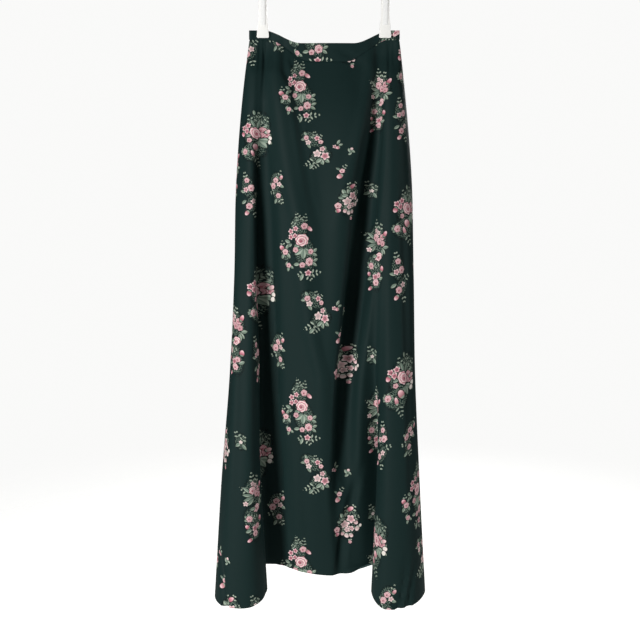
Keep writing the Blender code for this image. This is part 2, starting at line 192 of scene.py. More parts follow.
creases = {
    "front": (
        (6, (-110, 18, -1.0), (-110, 45, -3.5), (-111, 85, -2.5), (-113, 125, 0)),
        (20, (-94, 20, 1.5), (-91, 75, 5), (-80, 185, 5), (-65, 278, 4.5), (-50, 345, 4), (-44, 443, 3.5),
         (-27, 558, 4), (-4, 648, 4.5), (-4, 738, 3), (0, 860, 0)),
        (12, (-78, 18, -2), (-74, 75, -4.5), (-56, 108, -3.5), (-43, 185, -3), (-27, 300, -2), (-10, 370, 0)),
        (16, (92, 30, 1.5), (81, 92, 4.5), (70, 175, 4.5), (53, 243, 3.5), (36, 310, 2.5), (19, 385, 0)),
        (15, (104, 40, -2.5), (98, 143, -6.5), (95, 204, -7), (86, 290, -6), (82, 357, -4), (80, 425, 0)),
        (30, (96, 130, 0), (88, 240, -8), (78, 330, -15), (72, 400, -20), (64, 480, -24), (57, 560, -25),
         (48, 648, -24), (43, 730, -21), (40, 818, -16), (38, 900, -5), (38, 930, 0)),
        (14, (70, 820, 0), (60, 880, -6.5), (48, 935, -7.5), (38, 995, -6), (30, 1050, -3)),
        (26, (-116, 130, 0), (-114, 210, -8), (-108, 357, -15), (-106, 530, -20), (-104, 680, -22),
         (-100, 828, -22), (-96, 985, -18), (-94, 1040, -12)),
        (14, (-160, 330, 0), (-166, 480, 3), (-170, 700, 3.5), (-182, 900, 2), (-190, 990, 0)),
        (8, (-204, 990, 0), (-199, 1045, -5), (-190, 1098, -7)),
        (10, (146, 240, 0), (150, 380, -3), (158, 620, -3.5), (166, 860, -2.5), (168, 960, 0)),
        (7, (160, 980, 0), (156, 1035, -4), (142, 1105, -6)),
        (6, (176, 990, 0), (172, 1035, -4), (162, 1098, -5)),
        (18, (10, 760, 0), (22, 880, -4), (32, 1000, -4.5), (36, 1060, -3)),
        (16, (-62, 700, 0), (-56, 820, 3.5), (-50, 950, 3), (-48, 1050, 2)),
        (2.4, (0.5, 50, -0.6), (0.5, 66, -1.3), (0.8, 96, 0)),
        (20, (30, 28, 0), (44, 44, -2.5), (58, 56, -2), (66, 84, 0)),
        (6, (-64, 52, -1.5), (-52, 80, -2.2), (-42, 112, 0)),
        (5, (62, 56, -1.5), (48, 78, -2), (34, 104, 0)),
        (4, (36, 60, -1.4), (26, 82, 0)),
        (5, (122, 20, -1.2), (121, 60, -2), (119, 112, 0)),
        (4, (-124, 18, 0.8), (-125, 44, 1.4), (-126, 80, 0)),
        (9, (-146, 120, 0), (-150, 200, -2), (-154, 320, 0)),
    ),
    "back": (
        (6, (108, 18, -1), (109, 50, -3.2), (111, 90, -2), (113, 130, 0)),
        (18, (90, 20, 1.5), (84, 90, 4.5), (72, 220, 4), (56, 360, 4), (40, 520, 3.5), (30, 640, 0)),
        (12, (74, 18, -2), (66, 90, -4), (52, 170, -3), (34, 300, 0)),
        (15, (-92, 24, 1.5), (-86, 80, 4), (-74, 190, 4.5), (-60, 300, 3), (-44, 400, 0)),
        (12, (-100, 40, -2), (-98, 150, -4.5), (-92, 290, -5), (-84, 430, -4.5), (-70, 560, -3),
         (-60, 680, 0)),
        (14, (6, 300, 0), (2, 440, -3.5), (-8, 620, -4), (-14, 820, -3), (-16, 940, 0)),
        (15, (-40, 640, 0), (-46, 800, 4), (-56, 960, 3.5), (-60, 1060, 2)),
        (12, (80, 560, 0), (88, 720, -4), (96, 880, -4.5), (102, 1040, -3)),
        (9, (-176, 880, 0), (-170, 980, -4), (-162, 1092, -5)),
        (8, (150, 930, 0), (146, 1010, -4), (142, 1085, -5)),
        (12, (146, 260, 0), (150, 420, -3), (156, 700, -2.5), (160, 820, 0)),
        (13, (-158, 320, 0), (-164, 520, 3), (-174, 760, 3), (-182, 900, 0)),
        (2.4, (42, 40, -0.6), (42, 70, -1.3), (42, 120, 0)),
        (2.4, (-44, 40, -0.6), (-44, 70, -1.3), (-44, 118, 0)),
        (18, (-20, 26, 0), (-34, 42, -2), (-46, 54, -1.5), (-54, 80, 0)),
        (5, (58, 54, -1.5), (46, 80, -2), (36, 108, 0)),
        (5, (-66, 52, -1.4), (-56, 76, -2), (-46, 100, 0)),
    ),
}


creaseForm = {
    "easeIn": 25.0, "startShare": 0.5,  # each crease starts over this drop, at this share of its depth
    "facing": (0.1, 0.5),  # creases fade where the cloth turns edge on
    "room": 0.4, "deepRoom": 0.2, "deepFrom": 12.0,  # shares of the depth behind that a trough may take
}


def creasePush(side, points, drop, facing):
    # How far out of the cloth the creases of one side push each point.
    across = points[:, :, 0]
    push = np.zeros_like(across)
    for reach, *path in creases[side]:
        path = np.array(path, dtype=float)
        centre = np.interp(drop, path[:, 1], path[:, 0])
        depth = np.interp(drop, path[:, 1], path[:, 2], left=path[0, 2] * creaseForm["startShare"],
                          right=path[-1, 2])
        start = smoothStep(path[0, 1] - creaseForm["easeIn"], path[0, 1], drop)
        away = np.clip(np.abs(across - centre) / reach, 0, 1)
        push += start * depth * (1 - away ** 2) ** 2 * smoothStep(*creaseForm["facing"], facing)
    # Pressed together in the clips, the two sides have no room for deep troughs.
    room = np.abs(points[:, :, 1])
    deep = np.maximum(room - creaseForm["deepFrom"], 0)
    return np.maximum(push, -creaseForm["room"] * room - creaseForm["deepRoom"] * deep)


# Cloth shells

clothShell = {
    "columnsPerFold": 10,
    "topRows": (0, 0.5, 1.2, 2.4), "hemClear": 14.0,
    "hemRows": (12.5, 10.8, 9.6, 8.8, 8.0, 7.0, 6.0, 5.0, 4.0, 3.0, 2.0, 1.2, 0.6, 0.2, 0.0),
    "bandHeight": 33.0,  # mean height of the band, for spacing its rows
    "bandTopRows": (0, 0.12, 0.35, 0.7, 1.05), "bandSeamRows": (2.4, 1.2, 0.5, 0.0),
    "bandFirst": 2.0, "bandLast": 3.0, "bandSpacing": 1.8,
    "seamColumns": (0.02, 0.06),  # extra columns beside each side seam, as shares of a fold
    "rowSpacing": 4.6,
    "panelHalf": 0.4,  # half the thickness of one layer
    "bandHalf": 1.0,
    "panelRim": 0.6, "bandRim": 1.05, "thinnest": 0.02,  # how each free edge rounds off
    "seamDip": 0.55,  # how far cloth rolls in at a seam
    "seamRoll": 2.4,  # over this distance from the seam
    "bandDip": 1.4,  # times as deep along the band's lower edge
    "hemDepth": 9.0, "hemEase": 0.8,
    "hemExtra": 0.7,  # the turned-up allowance, inside
    "meanLength": 1035.0,
    "printEase": 48.0, "easedOver": 400.0,  # the print rides up this much at the waist
    "bandPhase": (-22.0, 416.0),  # where the band was cut from the print, across and down
    "sharpAngle": 50,
}
# The bake's own layout, as shares of its width: the right side takes the share given here.
bakeLayout = {"panel": 0.60, "band": 0.47, "margin": 0.01, "shells": 0.94,
              "rimStart": 0.972, "rimPitch": 0.006, "rimWidth": 0.004}
# The hem flips out over part of the middle panel (mm across) and ends in the fold behind the lobe.
hemLip = {"from": 34.0, "full": 84.0, "height": 10.0, "turn": 158.0, "bendRate": 1.5, "headingRows": 4,
          "endFold": list(foldLines).index("frontRightNeck"), "endSoftness": 0.8, "shownFrom": 0.25}


def foldPositions(first, last):
    steps = np.arange((last - first) * clothShell["columnsPerFold"] + 1) / clothShell["columnsPerFold"]
    near = np.array(clothShell["seamColumns"])
    return first + np.sort(np.concatenate([steps, near, last - first - near]))


def alongFromCentre(rows):
    # Distance along each row from where it crosses the middle plane, positive to the wearer's
    # left in front; this is the cloth's own straight grain.
    steps = np.linalg.norm(np.diff(rows, axis=1), axis=2)
    along = np.concatenate([np.zeros((len(rows), 1)), np.cumsum(steps, axis=1)], axis=1)
    for row, distance in zip(rows, along):
        across = row[:, 0] * np.sign(row[-1, 0] - row[0, 0])
        after = int(np.argmax(across > 0))
        share = -across[after - 1] / (across[after] - across[after - 1])
        distance -= distance[after - 1] + share * (distance[after] - distance[after - 1])
    return along


def outwardOf(middle):
    outward = np.cross(np.gradient(middle, axis=0), np.gradient(middle, axis=1))
    return outward / np.linalg.norm(outward, axis=2)[:, :, None]


def shellObject(name, middle, outerReach, innerReach, clothPlace, turnedRows, bakeAcross):
    rows, columns = middle.shape[:2]
    outward = outwardOf(middle)
    points = np.concatenate([(middle + outward * outerReach[:, :, None]).reshape(-1, 3),
                             (middle - outward * innerReach[:, :, None]).reshape(-1, 3)]) * mm
    outer = np.arange(rows * columns).reshape(rows, columns)
    inner = outer + rows * columns
    strips = [(outer[:-1, :-1], outer[1:, :-1], outer[1:, 1:], outer[:-1, 1:]),
              (inner[:-1, :-1], inner[:-1, 1:], inner[1:, 1:], inner[1:, :-1]),
              (outer[0, :-1], outer[0, 1:], inner[0, 1:], inner[0, :-1]),
              (outer[-1, 1:], outer[-1, :-1], inner[-1, :-1], inner[-1, 1:]),
              (outer[:-1, 0], inner[:-1, 0], inner[1:, 0], outer[1:, 0]),
              (outer[:-1, -1], outer[1:, -1], inner[1:, -1], inner[:-1, -1])]
    quads = [np.stack(strip, axis=-1).reshape(-1, 4) for strip in strips]
    mesh = bpy.data.meshes.new(name)
    mesh.from_pydata(points.tolist(), [], np.concatenate(quads).tolist())

    corners = np.concatenate(quads).reshape(-1)
    real = np.concatenate([clothPlace.reshape(-1, 2)] * 2) * mm
    mesh.uv_layers.new(name="cloth").data.foreach_set("uv", real[corners].reshape(-1).astype(np.float32))
    # The right side, the wrong side beside it, and four thin rims.
    margin = bakeLayout["margin"]
    rowShare, columnShare = np.meshgrid(np.linspace(1 - margin, margin, rows), np.linspace(0, 1, columns),
                                        indexing="ij")
    right = margin + bakeAcross * columnShare
    wrong = 2 * margin + bakeAcross + (bakeLayout["shells"] - bakeAcross) * columnShare
    layout = np.concatenate([np.stack([side, rowShare], axis=-1).reshape(-1, 2) for side in (right, wrong)])
    bake = layout[corners]
    start = 4 * (len(quads[0]) + len(quads[1]))
    for rim, strip in enumerate(quads[2:]):
        count = len(strip)
        low = np.linspace(margin, 1 - margin, count + 1)
        side = bakeLayout["rimStart"] + bakeLayout["rimPitch"] * rim
        far = side + bakeLayout["rimWidth"]
        around = ((side, low[:-1]), (side, low[1:]), (far, low[1:]), (far, low[:-1]))
        corner = np.stack([np.column_stack([np.full(count, edge), level]) for edge, level in around], axis=1)
        bake[start:start + 4 * count] = corner.reshape(-1, 2)
        start += 4 * count
    mesh.uv_layers.new(name="OFBake").data.foreach_set("uv", bake.reshape(-1).astype(np.float32))

    wrongSide = np.zeros(sum(len(strip) for strip in quads), dtype=np.int32)
    inside = np.broadcast_to(np.arange(rows - 1)[:, None] < rows - 1 - turnedRows, (rows - 1, columns - 1))
    wrongSide[len(quads[0]):len(quads[0]) + len(quads[1])] = inside.ravel()
    mesh.polygons.foreach_set("material_index", wrongSide)
    mesh.shade_smooth()
    mesh.set_sharp_from_angle(angle=math.radians(clothShell["sharpAngle"]))
    piece = bpy.data.objects.new(name, mesh)
    piece["columns"] = columns
    bpy.context.scene.collection.objects.link(piece)
    return piece


def seamProfile(distance, depth):
    return -depth * (1 - smoothStep(0, clothShell["seamRoll"], distance))


def edgeRounding(distance, radius):
    out = 1 - np.clip(distance / radius, 0, 1)
    return np.sqrt(np.clip(1 - out ** 2, clothShell["thinnest"], 1))[:, None]


def fromEnds(middle):
    # Distance along each row to the nearer side seam.
    steps = np.linalg.norm(np.diff(middle, axis=1), axis=2)
    along = np.concatenate([np.zeros((len(middle), 1)), np.cumsum(steps, axis=1)], axis=1)
    return np.minimum(along, along[:, -1:] - along)


def turnHemOut(middle, fromHem, weight):
    # Flips a stretch of the front hem forward and up, so that its wrong side shows.
    first = int(np.argmax(fromHem < hemLip["height"]))
    down = middle[first] - middle[first - hemLip["headingRows"]]
    down /= np.linalg.norm(down, axis=1)[:, None]
    out = outwardOf(middle)[first]
    place = middle[first].copy()
    for row in range(first + 1, len(middle)):
        step = fromHem[row - 1] - fromHem[row]
        bent = min(1.0, hemLip["bendRate"] * (1 - fromHem[row] / hemLip["height"]))
        turned = math.radians(hemLip["turn"]) * weight * bent
        place = place + step * (down * np.cos(turned)[:, None] + out * np.sin(turned)[:, None])
        middle[row] = place
    return middle


def skirtPanel(side, first, last):
    at = foldPositions(first, last)
    length = clothShell["meanLength"]
    spacing = clothShell["rowSpacing"]
    between = np.arange(spacing, length - clothShell["hemClear"], spacing)
    fromTop = np.concatenate([clothShell["topRows"], between])
    fromHem = np.array(clothShell["hemRows"])
    shares = np.concatenate([fromTop / length, 1 - fromHem / length])
    middle = np.array([panelRow(share, at) for share in shares])
    drop = -middle[:, :, 2] - clothForm["clipLine"]
    grain = drop - clothShell["printEase"] * (1 - smoothStep(0, clothShell["easedOver"], drop))
    place = np.stack([alongFromCentre(middle), grain], axis=-1)
    fromSeam = shares * length
    toHem = length - fromSeam
    outward = outwardOf(middle)
    facing = np.abs(outward[:, :, 1])
    push = creasePush(side, middle, drop, facing)
    middle = middle + outward * push[:, :, None]
    turned = np.full(len(at) - 1, int(np.sum(toHem < clothShell["hemDepth"])) - 1)
    if side == "front":
        flipped = smoothStep(hemLip["from"], hemLip["full"], middle[-1, :, 0])
        flipped *= 1 - smoothStep(hemLip["endFold"] - hemLip["endSoftness"], hemLip["endFold"], at)
        middle = turnHemOut(middle, toHem, flipped)
        turned[flipped[1:] > hemLip["shownFrom"]] = 0  # the flipped stretch shows the cloth's wrong side
    half, dip = clothShell["panelHalf"], clothShell["seamDip"]
    seam = seamProfile(fromSeam, dip)[:, None] + seamProfile(fromEnds(middle), dip)
    edge = edgeRounding(toHem, clothShell["panelRim"])
    hemTop = clothShell["hemDepth"]
    allowance = clothShell["hemExtra"] * (1 - smoothStep(hemTop - clothShell["hemEase"], hemTop, toHem))
    innerReach = np.broadcast_to((half + allowance[:, None]) * edge, seam.shape)
    return shellObject(f"{side}SkirtPanel", middle, (half + seam) * edge, innerReach, place, turned,
                       bakeLayout["panel"])


def skirtBand(side, first, last):
    at = foldPositions(first, last)
    height = clothShell["bandHeight"]
    between = np.arange(clothShell["bandFirst"], height - clothShell["bandLast"], clothShell["bandSpacing"])
    fromTop = np.concatenate([clothShell["bandTopRows"], between,
                              [height - row for row in clothShell["bandSeamRows"]]])
    middle = np.array([bandRow(share, at) for share in fromTop / height])
    drop = -middle[:, :, 2] - clothForm["clipLine"]
    place = np.stack([alongFromCentre(middle), drop - drop[:1]], axis=-1) + clothShell["bandPhase"]
    outward = outwardOf(middle)
    push = creasePush(side, middle, drop, np.abs(outward[:, :, 1]))
    middle = middle + outward * push[:, :, None]
    half, dip = clothShell["bandHalf"], clothShell["seamDip"]
    rounding = edgeRounding(fromTop, clothShell["bandRim"])
    lowerSeam = seamProfile(height - fromTop, clothShell["bandDip"] * dip)[:, None]
    seam = lowerSeam + seamProfile(fromEnds(middle), dip)
    return shellObject(f"{side}Waistband", middle, (half + seam) * rounding,
                       np.broadcast_to(half * rounding, seam.shape), place, 0, bakeLayout["band"])


seamFold = list(foldLines).index("rightSeam")
frontPanel = skirtPanel("front", 0, seamFold)
backPanel = skirtPanel("back", seamFold, len(foldLines))
frontBand = skirtBand("front", 0, seamFold)
backBand = skirtBand("back", seamFold, len(foldLines))
print("cloth shells made")


# The print: small stamps of leaves and flowers, set out in bouquets and repeated half-drop

inks = {
    "ground": "#152625", "gap": "#0a1211", "deepPink": "#94525f", "pink": "#c78791", "palePink": "#e6c2c5",
    "cream": "#e0e0d6", "leaf": "#778879", "lightLeaf": "#9daa9a", "darkLeaf": "#4f6258", "heart": "#5a3640",
}
printRepeat = {"across": 330.0, "down": 322.0}  # mm; each column sits half a repeat lower


def stampTree(name, reachOf, gap):
    # A stamp lays one motif over the colour under it: a thin dark gap, then the motif's own inks.
    # reachOf builds its shape, which grows from the middle and is 1 at the edge, and its colour.
    tree = bpy.data.node_groups.new(name, "ShaderNodeTree")
    for socket, kind in (("Under", "Color"), ("Cloth", "Vector"), ("Place", "Vector"), ("Turn", "Vector"),
                         ("Size", "Vector"), ("Tint", "Float"), ("Count", "Float")):
        tree.interface.new_socket(socket, in_out="INPUT", socket_type="NodeSocket" + kind)
    tree.interface.new_socket("Over", in_out="OUTPUT", socket_type="NodeSocketColor")
    given = addNode(tree, "NodeGroupInput").outputs
    # Nothing of the colour below is added to the place, but a stamp waits for the one under it,
    # so a long chain of stamps needs no more of the shader's working memory than one.
    cloth = addNode(tree, "ShaderNodeVectorMath", {0: given["Under"], 1: (0, 0, 0), 2: given["Cloth"]},
                    operation="MULTIPLY_ADD").outputs[0]
    local = addNode(tree, "ShaderNodeMapping", {"Vector": cloth, "Location": given["Place"],
                                                "Rotation": given["Turn"], "Scale": given["Size"]},
                    vector_type="TEXTURE").outputs[0]
    reach, colour = reachOf(tree, local, given)
    rim = addNode(tree, "ShaderNodeMapRange", {0: reach, 1: 1.0 + 1.4 * gap, 2: 1.0 + 0.6 * gap}).outputs[0]
    rimmed = addNode(tree, "ShaderNodeMix", {0: rim, 6: given["Under"], 7: linear(inks["gap"])},
                     data_type="RGBA").outputs[2]
    inked = addNode(tree, "ShaderNodeMapRange", {0: reach, 1: 1.0 + 0.3 * gap, 2: 1.0 - 0.5 * gap}).outputs[0]
    over = addNode(tree, "ShaderNodeMix", {0: inked, 6: rimmed, 7: colour}, data_type="RGBA").outputs[2]
    addNode(tree, "NodeGroupOutput", {"Over": over})
    return tree


def leafInks(tree, across, tint):
    # Two halves in different greens with a dark vein between them.
    half = addNode(tree, "ShaderNodeMapRange", {0: across, 1: -0.12, 2: 0.12}).outputs[0]
    halves = addNode(tree, "ShaderNodeMix", {0: half, 6: linear(inks["leaf"]), 7: linear(inks["lightLeaf"])},
                     data_type="RGBA").outputs[2]
    offVein = addNode(tree, "ShaderNodeMath", {0: across}, operation="ABSOLUTE").outputs[0]
    vein = addNode(tree, "ShaderNodeMapRange", {0: offVein, 1: 0.22, 2: 0.05, 4: 0.8}).outputs[0]
    veined = addNode(tree, "ShaderNodeMix", {0: vein, 6: halves, 7: linear(inks["darkLeaf"])},
                     data_type="RGBA").outputs[2]
    return addNode(tree, "ShaderNodeMix", {0: tint, 6: veined, 7: linear(inks["darkLeaf"])},
                   data_type="RGBA").outputs[2]


def onAxis(tree, place, axis):
    # A dot product: a Separate XYZ would hold on to working memory for the parts nobody reads.
    return addNode(tree, "ShaderNodeVectorMath", {0: place, 1: axis},
                   operation="DOT_PRODUCT").outputs["Value"]


def leafReach(tree, local, given):
    # Pointed oval along X, one unit to each end.
    along, up = onAxis(tree, local, (1, 0, 0)), onAxis(tree, local, (0, 1, 0))
    square = addNode(tree, "ShaderNodeMath", {0: along, 1: along}, operation="MULTIPLY").outputs[0]
    off = addNode(tree, "ShaderNodeMath", {0: up}, operation="ABSOLUTE").outputs[0]
    reach = addNode(tree, "ShaderNodeMath", {0: square, 1: off}, operation="ADD").outputs[0]
    return reach, leafInks(tree, up, given["Tint"])


def polar(tree, local):
    radius = addNode(tree, "ShaderNodeVectorMath", {0: local}, operation="LENGTH").outputs["Value"]
    across, up = onAxis(tree, local, (1, 0, 0)), onAxis(tree, local, (0, 1, 0))
    return radius, addNode(tree, "ShaderNodeMath", {0: up, 1: across}, operation="ARCTAN2").outputs[0]


def fanReach(tree, local, given):
    # An odd number of broad leaves spread from one point, the middle one along X.
    leafTurn = 0.86
    radius, angle = polar(tree, local)
    place = addNode(tree, "ShaderNodeMath", {0: angle, 1: leafTurn}, operation="DIVIDE").outputs[0]
    whole = addNode(tree, "ShaderNodeMath", {0: place}, operation="ROUND").outputs[0]
    rest = addNode(tree, "ShaderNodeMath", {0: place, 1: whole}, operation="SUBTRACT").outputs[0]
    off = addNode(tree, "ShaderNodeMath", {0: rest, 1: radius}, operation="MULTIPLY").outputs[0]
    across = addNode(tree, "ShaderNodeMath", {0: off, 1: 3.3}, operation="MULTIPLY").outputs[0]
    width = addNode(tree, "ShaderNodeMath", {0: across}, operation="ABSOLUTE").outputs[0]
    along = addNode(tree, "ShaderNodeMath", {0: radius, 1: 2.1, 2: -1.12},
                    operation="MULTIPLY_ADD").outputs[0]
    square = addNode(tree, "ShaderNodeMath", {0: along, 1: along}, operation="MULTIPLY").outputs[0]
    oval = addNode(tree, "ShaderNodeMath", {0: square, 1: width}, operation="ADD").outputs[0]
    order = addNode(tree, "ShaderNodeMath", {0: whole}, operation="ABSOLUTE").outputs[0]
    order = addNode(tree, "ShaderNodeMath", {0: order, 1: 2.0, 2: 0.5}, operation="MULTIPLY_ADD").outputs[0]
    extra = addNode(tree, "ShaderNodeMath", {0: order, 1: given["Count"]},
                    operation="GREATER_THAN").outputs[0]
    reach = addNode(tree, "ShaderNodeMath", {0: extra, 1: 9.0, 2: oval}, operation="MULTIPLY_ADD").outputs[0]
    return reach, leafInks(tree, across, given["Tint"])


def frondReach(tree, local, given):
    # Fine spray: pairs of narrow leaflets that lean forward from a stem along X, 0 to 1.
    along, up = onAxis(tree, local, (1, 0, 0)), onAxis(tree, local, (0, 1, 0))
    off = addNode(tree, "ShaderNodeMath", {0: up}, operation="ABSOLUTE").outputs[0]
    lean = addNode(tree, "ShaderNodeMath", {0: off, 1: -0.16, 2: along}, operation="MULTIPLY_ADD").outputs[0]
    count = addNode(tree, "ShaderNodeMath", {0: lean, 1: given["Count"]}, operation="MULTIPLY").outputs[0]
    rest = addNode(tree, "ShaderNodeMath", {0: count, 1: 1.0}, operation="PINGPONG").outputs[0]
    narrow = addNode(tree, "ShaderNodeMath", {0: rest, 1: -2.2, 2: 11.2}, operation="MULTIPLY_ADD").outputs[0]
    square = addNode(tree, "ShaderNodeMath", {0: along, 1: along}, operation="MULTIPLY").outputs[0]
    taper = addNode(tree, "ShaderNodeMath", {0: 1.02, 1: square}, operation="SUBTRACT").outputs[0]
    taper = addNode(tree, "ShaderNodeMath", {0: taper, 1: 0.05}, operation="MAXIMUM").outputs[0]
    out = addNode(tree, "ShaderNodeMath", {0: off, 1: taper}, operation="DIVIDE").outputs[0]
    far = addNode(tree, "ShaderNodeMath", {0: out, 1: 2.0, 2: -1.0}, operation="MULTIPLY_ADD").outputs[0]
    far = addNode(tree, "ShaderNodeMath", {0: far, 1: far}, operation="MULTIPLY").outputs[0]
    leaflet = addNode(tree, "ShaderNodeMath", {0: far, 1: narrow}, operation="ADD").outputs[0]
    within = addNode(tree, "ShaderNodeMath", {0: along, 1: 0.5, 2: 0.5}, operation="COMPARE").outputs[0]
    reach = addNode(tree, "ShaderNodeMath", {0: within, 1: -9.0, 2: leaflet},
                    operation="MULTIPLY_ADD").outputs[0]
    return reach, addNode(tree, "ShaderNodeMix", {0: given["Tint"], 6: linear(inks["lightLeaf"]),
                                                  7: linear(inks["darkLeaf"])}, data_type="RGBA").outputs[2]


def blossomReach(tree, local, given):
    # Open flower of round petals, pale at their edges, with a dark heart.
    radius, angle = polar(tree, local)
    wave = addNode(tree, "ShaderNodeMath", {0: angle, 1: given["Count"]}, operation="MULTIPLY").outputs[0]
    wave = addNode(tree, "ShaderNodeMath", {0: wave}, operation="COSINE").outputs[0]
    edge = addNode(tree, "ShaderNodeMath", {0: wave, 1: 0.17, 2: 0.83}, operation="MULTIPLY_ADD").outputs[0]
    reach = addNode(tree, "ShaderNodeMath", {0: radius, 1: edge}, operation="DIVIDE").outputs[0]
    petals = addNode(tree, "ShaderNodeValToRGB", {0: reach}, stops=[
        (0.0, inks["cream"]), (0.12, inks["heart"]), (0.30, inks["deepPink"]), (0.58, inks["pink"]),
        (0.82, inks["palePink"]), (1.0, inks["cream"])]).outputs[0]
    parting = addNode(tree, "ShaderNodeMapRange", {0: wave, 1: -0.55, 2: -0.95, 4: 0.75}).outputs[0]
    parted = addNode(tree, "ShaderNodeMix", {0: parting, 6: petals, 7: linear(inks["deepPink"])},
                     data_type="RGBA").outputs[2]
    return reach, addNode(tree, "ShaderNodeMix", {0: given["Tint"], 6: parted, 7: linear(inks["cream"])},
                          data_type="RGBA").outputs[2]


def roseReach(tree, local, given):
    # Full rose: a whorl of petals with pale lips, tightening to a dark heart off its middle.
    radius, angle = polar(tree, local)
    scallop = addNode(tree, "ShaderNodeMath", {0: angle, 1: given["Count"]}, operation="MULTIPLY").outputs[0]
    scallop = addNode(tree, "ShaderNodeMath", {0: scallop}, operation="COSINE").outputs[0]
    edge = addNode(tree, "ShaderNodeMath", {0: scallop, 1: 0.07, 2: 0.93},
                   operation="MULTIPLY_ADD").outputs[0]
    reach = addNode(tree, "ShaderNodeMath", {0: radius, 1: edge}, operation="DIVIDE").outputs[0]
    shifted = addNode(tree, "ShaderNodeVectorMath", {0: local, 1: (0.16, 0.12, 0)},
                      operation="ADD").outputs[0]
    inner, turned = polar(tree, shifted)
    lap = addNode(tree, "ShaderNodeMath", {0: turned, 1: 1 / (2 * math.pi)}, operation="MULTIPLY").outputs[0]
    whorl = addNode(tree, "ShaderNodeMath", {0: inner, 1: 2.7, 2: lap}, operation="MULTIPLY_ADD").outputs[0]
    whorl = addNode(tree, "ShaderNodeMath", {0: scallop, 1: 0.10, 2: whorl},
                    operation="MULTIPLY_ADD").outputs[0]
    fold = addNode(tree, "ShaderNodeMath", {0: whorl}, operation="FRACT").outputs[0]
    petals = addNode(tree, "ShaderNodeValToRGB", {0: fold}, stops=[
        (0.0, inks["deepPink"]), (0.18, inks["pink"]), (0.6, inks["palePink"]), (0.88, inks["cream"]),
        (1.0, inks["deepPink"])]).outputs[0]
    heart = addNode(tree, "ShaderNodeMapRange", {0: inner, 1: 0.42, 2: 0.12}).outputs[0]
    deep = addNode(tree, "ShaderNodeMix", {0: heart, 6: petals, 7: linear(inks["deepPink"])},
                   data_type="RGBA").outputs[2]
    return reach, addNode(tree, "ShaderNodeMix", {0: given["Tint"], 6: deep, 7: linear(inks["deepPink"])},
                          data_type="RGBA").outputs[2]


def budReach(tree, local, given):
    # Closed bud along X: green cup behind, deep pink at the base, paler to the tip.
    reach = addNode(tree, "ShaderNodeVectorMath", {0: local}, operation="LENGTH").outputs["Value"]
    length = onAxis(tree, local, (1, 0, 0))
    length = addNode(tree, "ShaderNodeMapRange", {0: length, 1: -1.0, 2: 1.0}).outputs[0]
    colour = addNode(tree, "ShaderNodeValToRGB", {0: length}, stops=[
        (0.0, inks["leaf"]), (0.20, inks["leaf"]), (0.28, inks["deepPink"]), (0.62, inks["pink"]),
        (0.9, inks["palePink"])]).outputs[0]
    return reach, addNode(tree, "ShaderNodeMix", {0: given["Tint"], 6: colour, 7: linear(inks["cream"])},
                          data_type="RGBA").outputs[2]


def foliageReach(tree, local, given):
    # Loose bed of tiny pointed leaves inside an oval; Count sets how many lie across it.
    radius = addNode(tree, "ShaderNodeVectorMath", {0: local}, operation="LENGTH").outputs["Value"]
    cells = addNode(tree, "ShaderNodeTexVoronoi", {"Vector": local, "Scale": given["Count"]},
                    voronoi_dimensions="2D", distance="MINKOWSKI")
    cells.inputs["Exponent"].default_value = 0.8
    leaf = addNode(tree, "ShaderNodeMath", {0: cells.outputs["Distance"], 1: 2.3},
                   operation="MULTIPLY").outputs[0]
    reach = addNode(tree, "ShaderNodeMath", {0: radius, 1: leaf}, operation="MAXIMUM").outputs[0]
    shade = addNode(tree, "ShaderNodeMapRange", {0: leaf, 1: 0.25, 2: 0.75}).outputs[0]
    return reach, addNode(tree, "ShaderNodeMix", {0: shade, 6: linear(inks["darkLeaf"]),
                                                  7: linear(inks["leaf"])}, data_type="RGBA").outputs[2]


stamps = {
    "foliage": stampTree("foliageStamp", foliageReach, 0.2),
    "leaf": stampTree("leafStamp", leafReach, 0.34), "fan": stampTree("fanStamp", fanReach, 0.26),
    "frond": stampTree("frondStamp", frondReach, 0.45),
    "blossom": stampTree("blossomStamp", blossomReach, 0.22),
    "rose": stampTree("roseStamp", roseReach, 0.12), "bud": stampTree("budStamp", budReach, 0.24),
}

# How each kind is drawn against the table below: its length, its width and its count.
fullness = {"leaf": (1.16, 1.15, 1), "fan": (1.12, 1.12, 1), "frond": (1.12, 1.5, 1.15),
            "blossom": (1.2, 1.2, 1), "rose": (1.16, 1.16, 1), "bud": (1.1, 1.15, 1),
            "foliage": (1.0, 1.0, 1.12)}

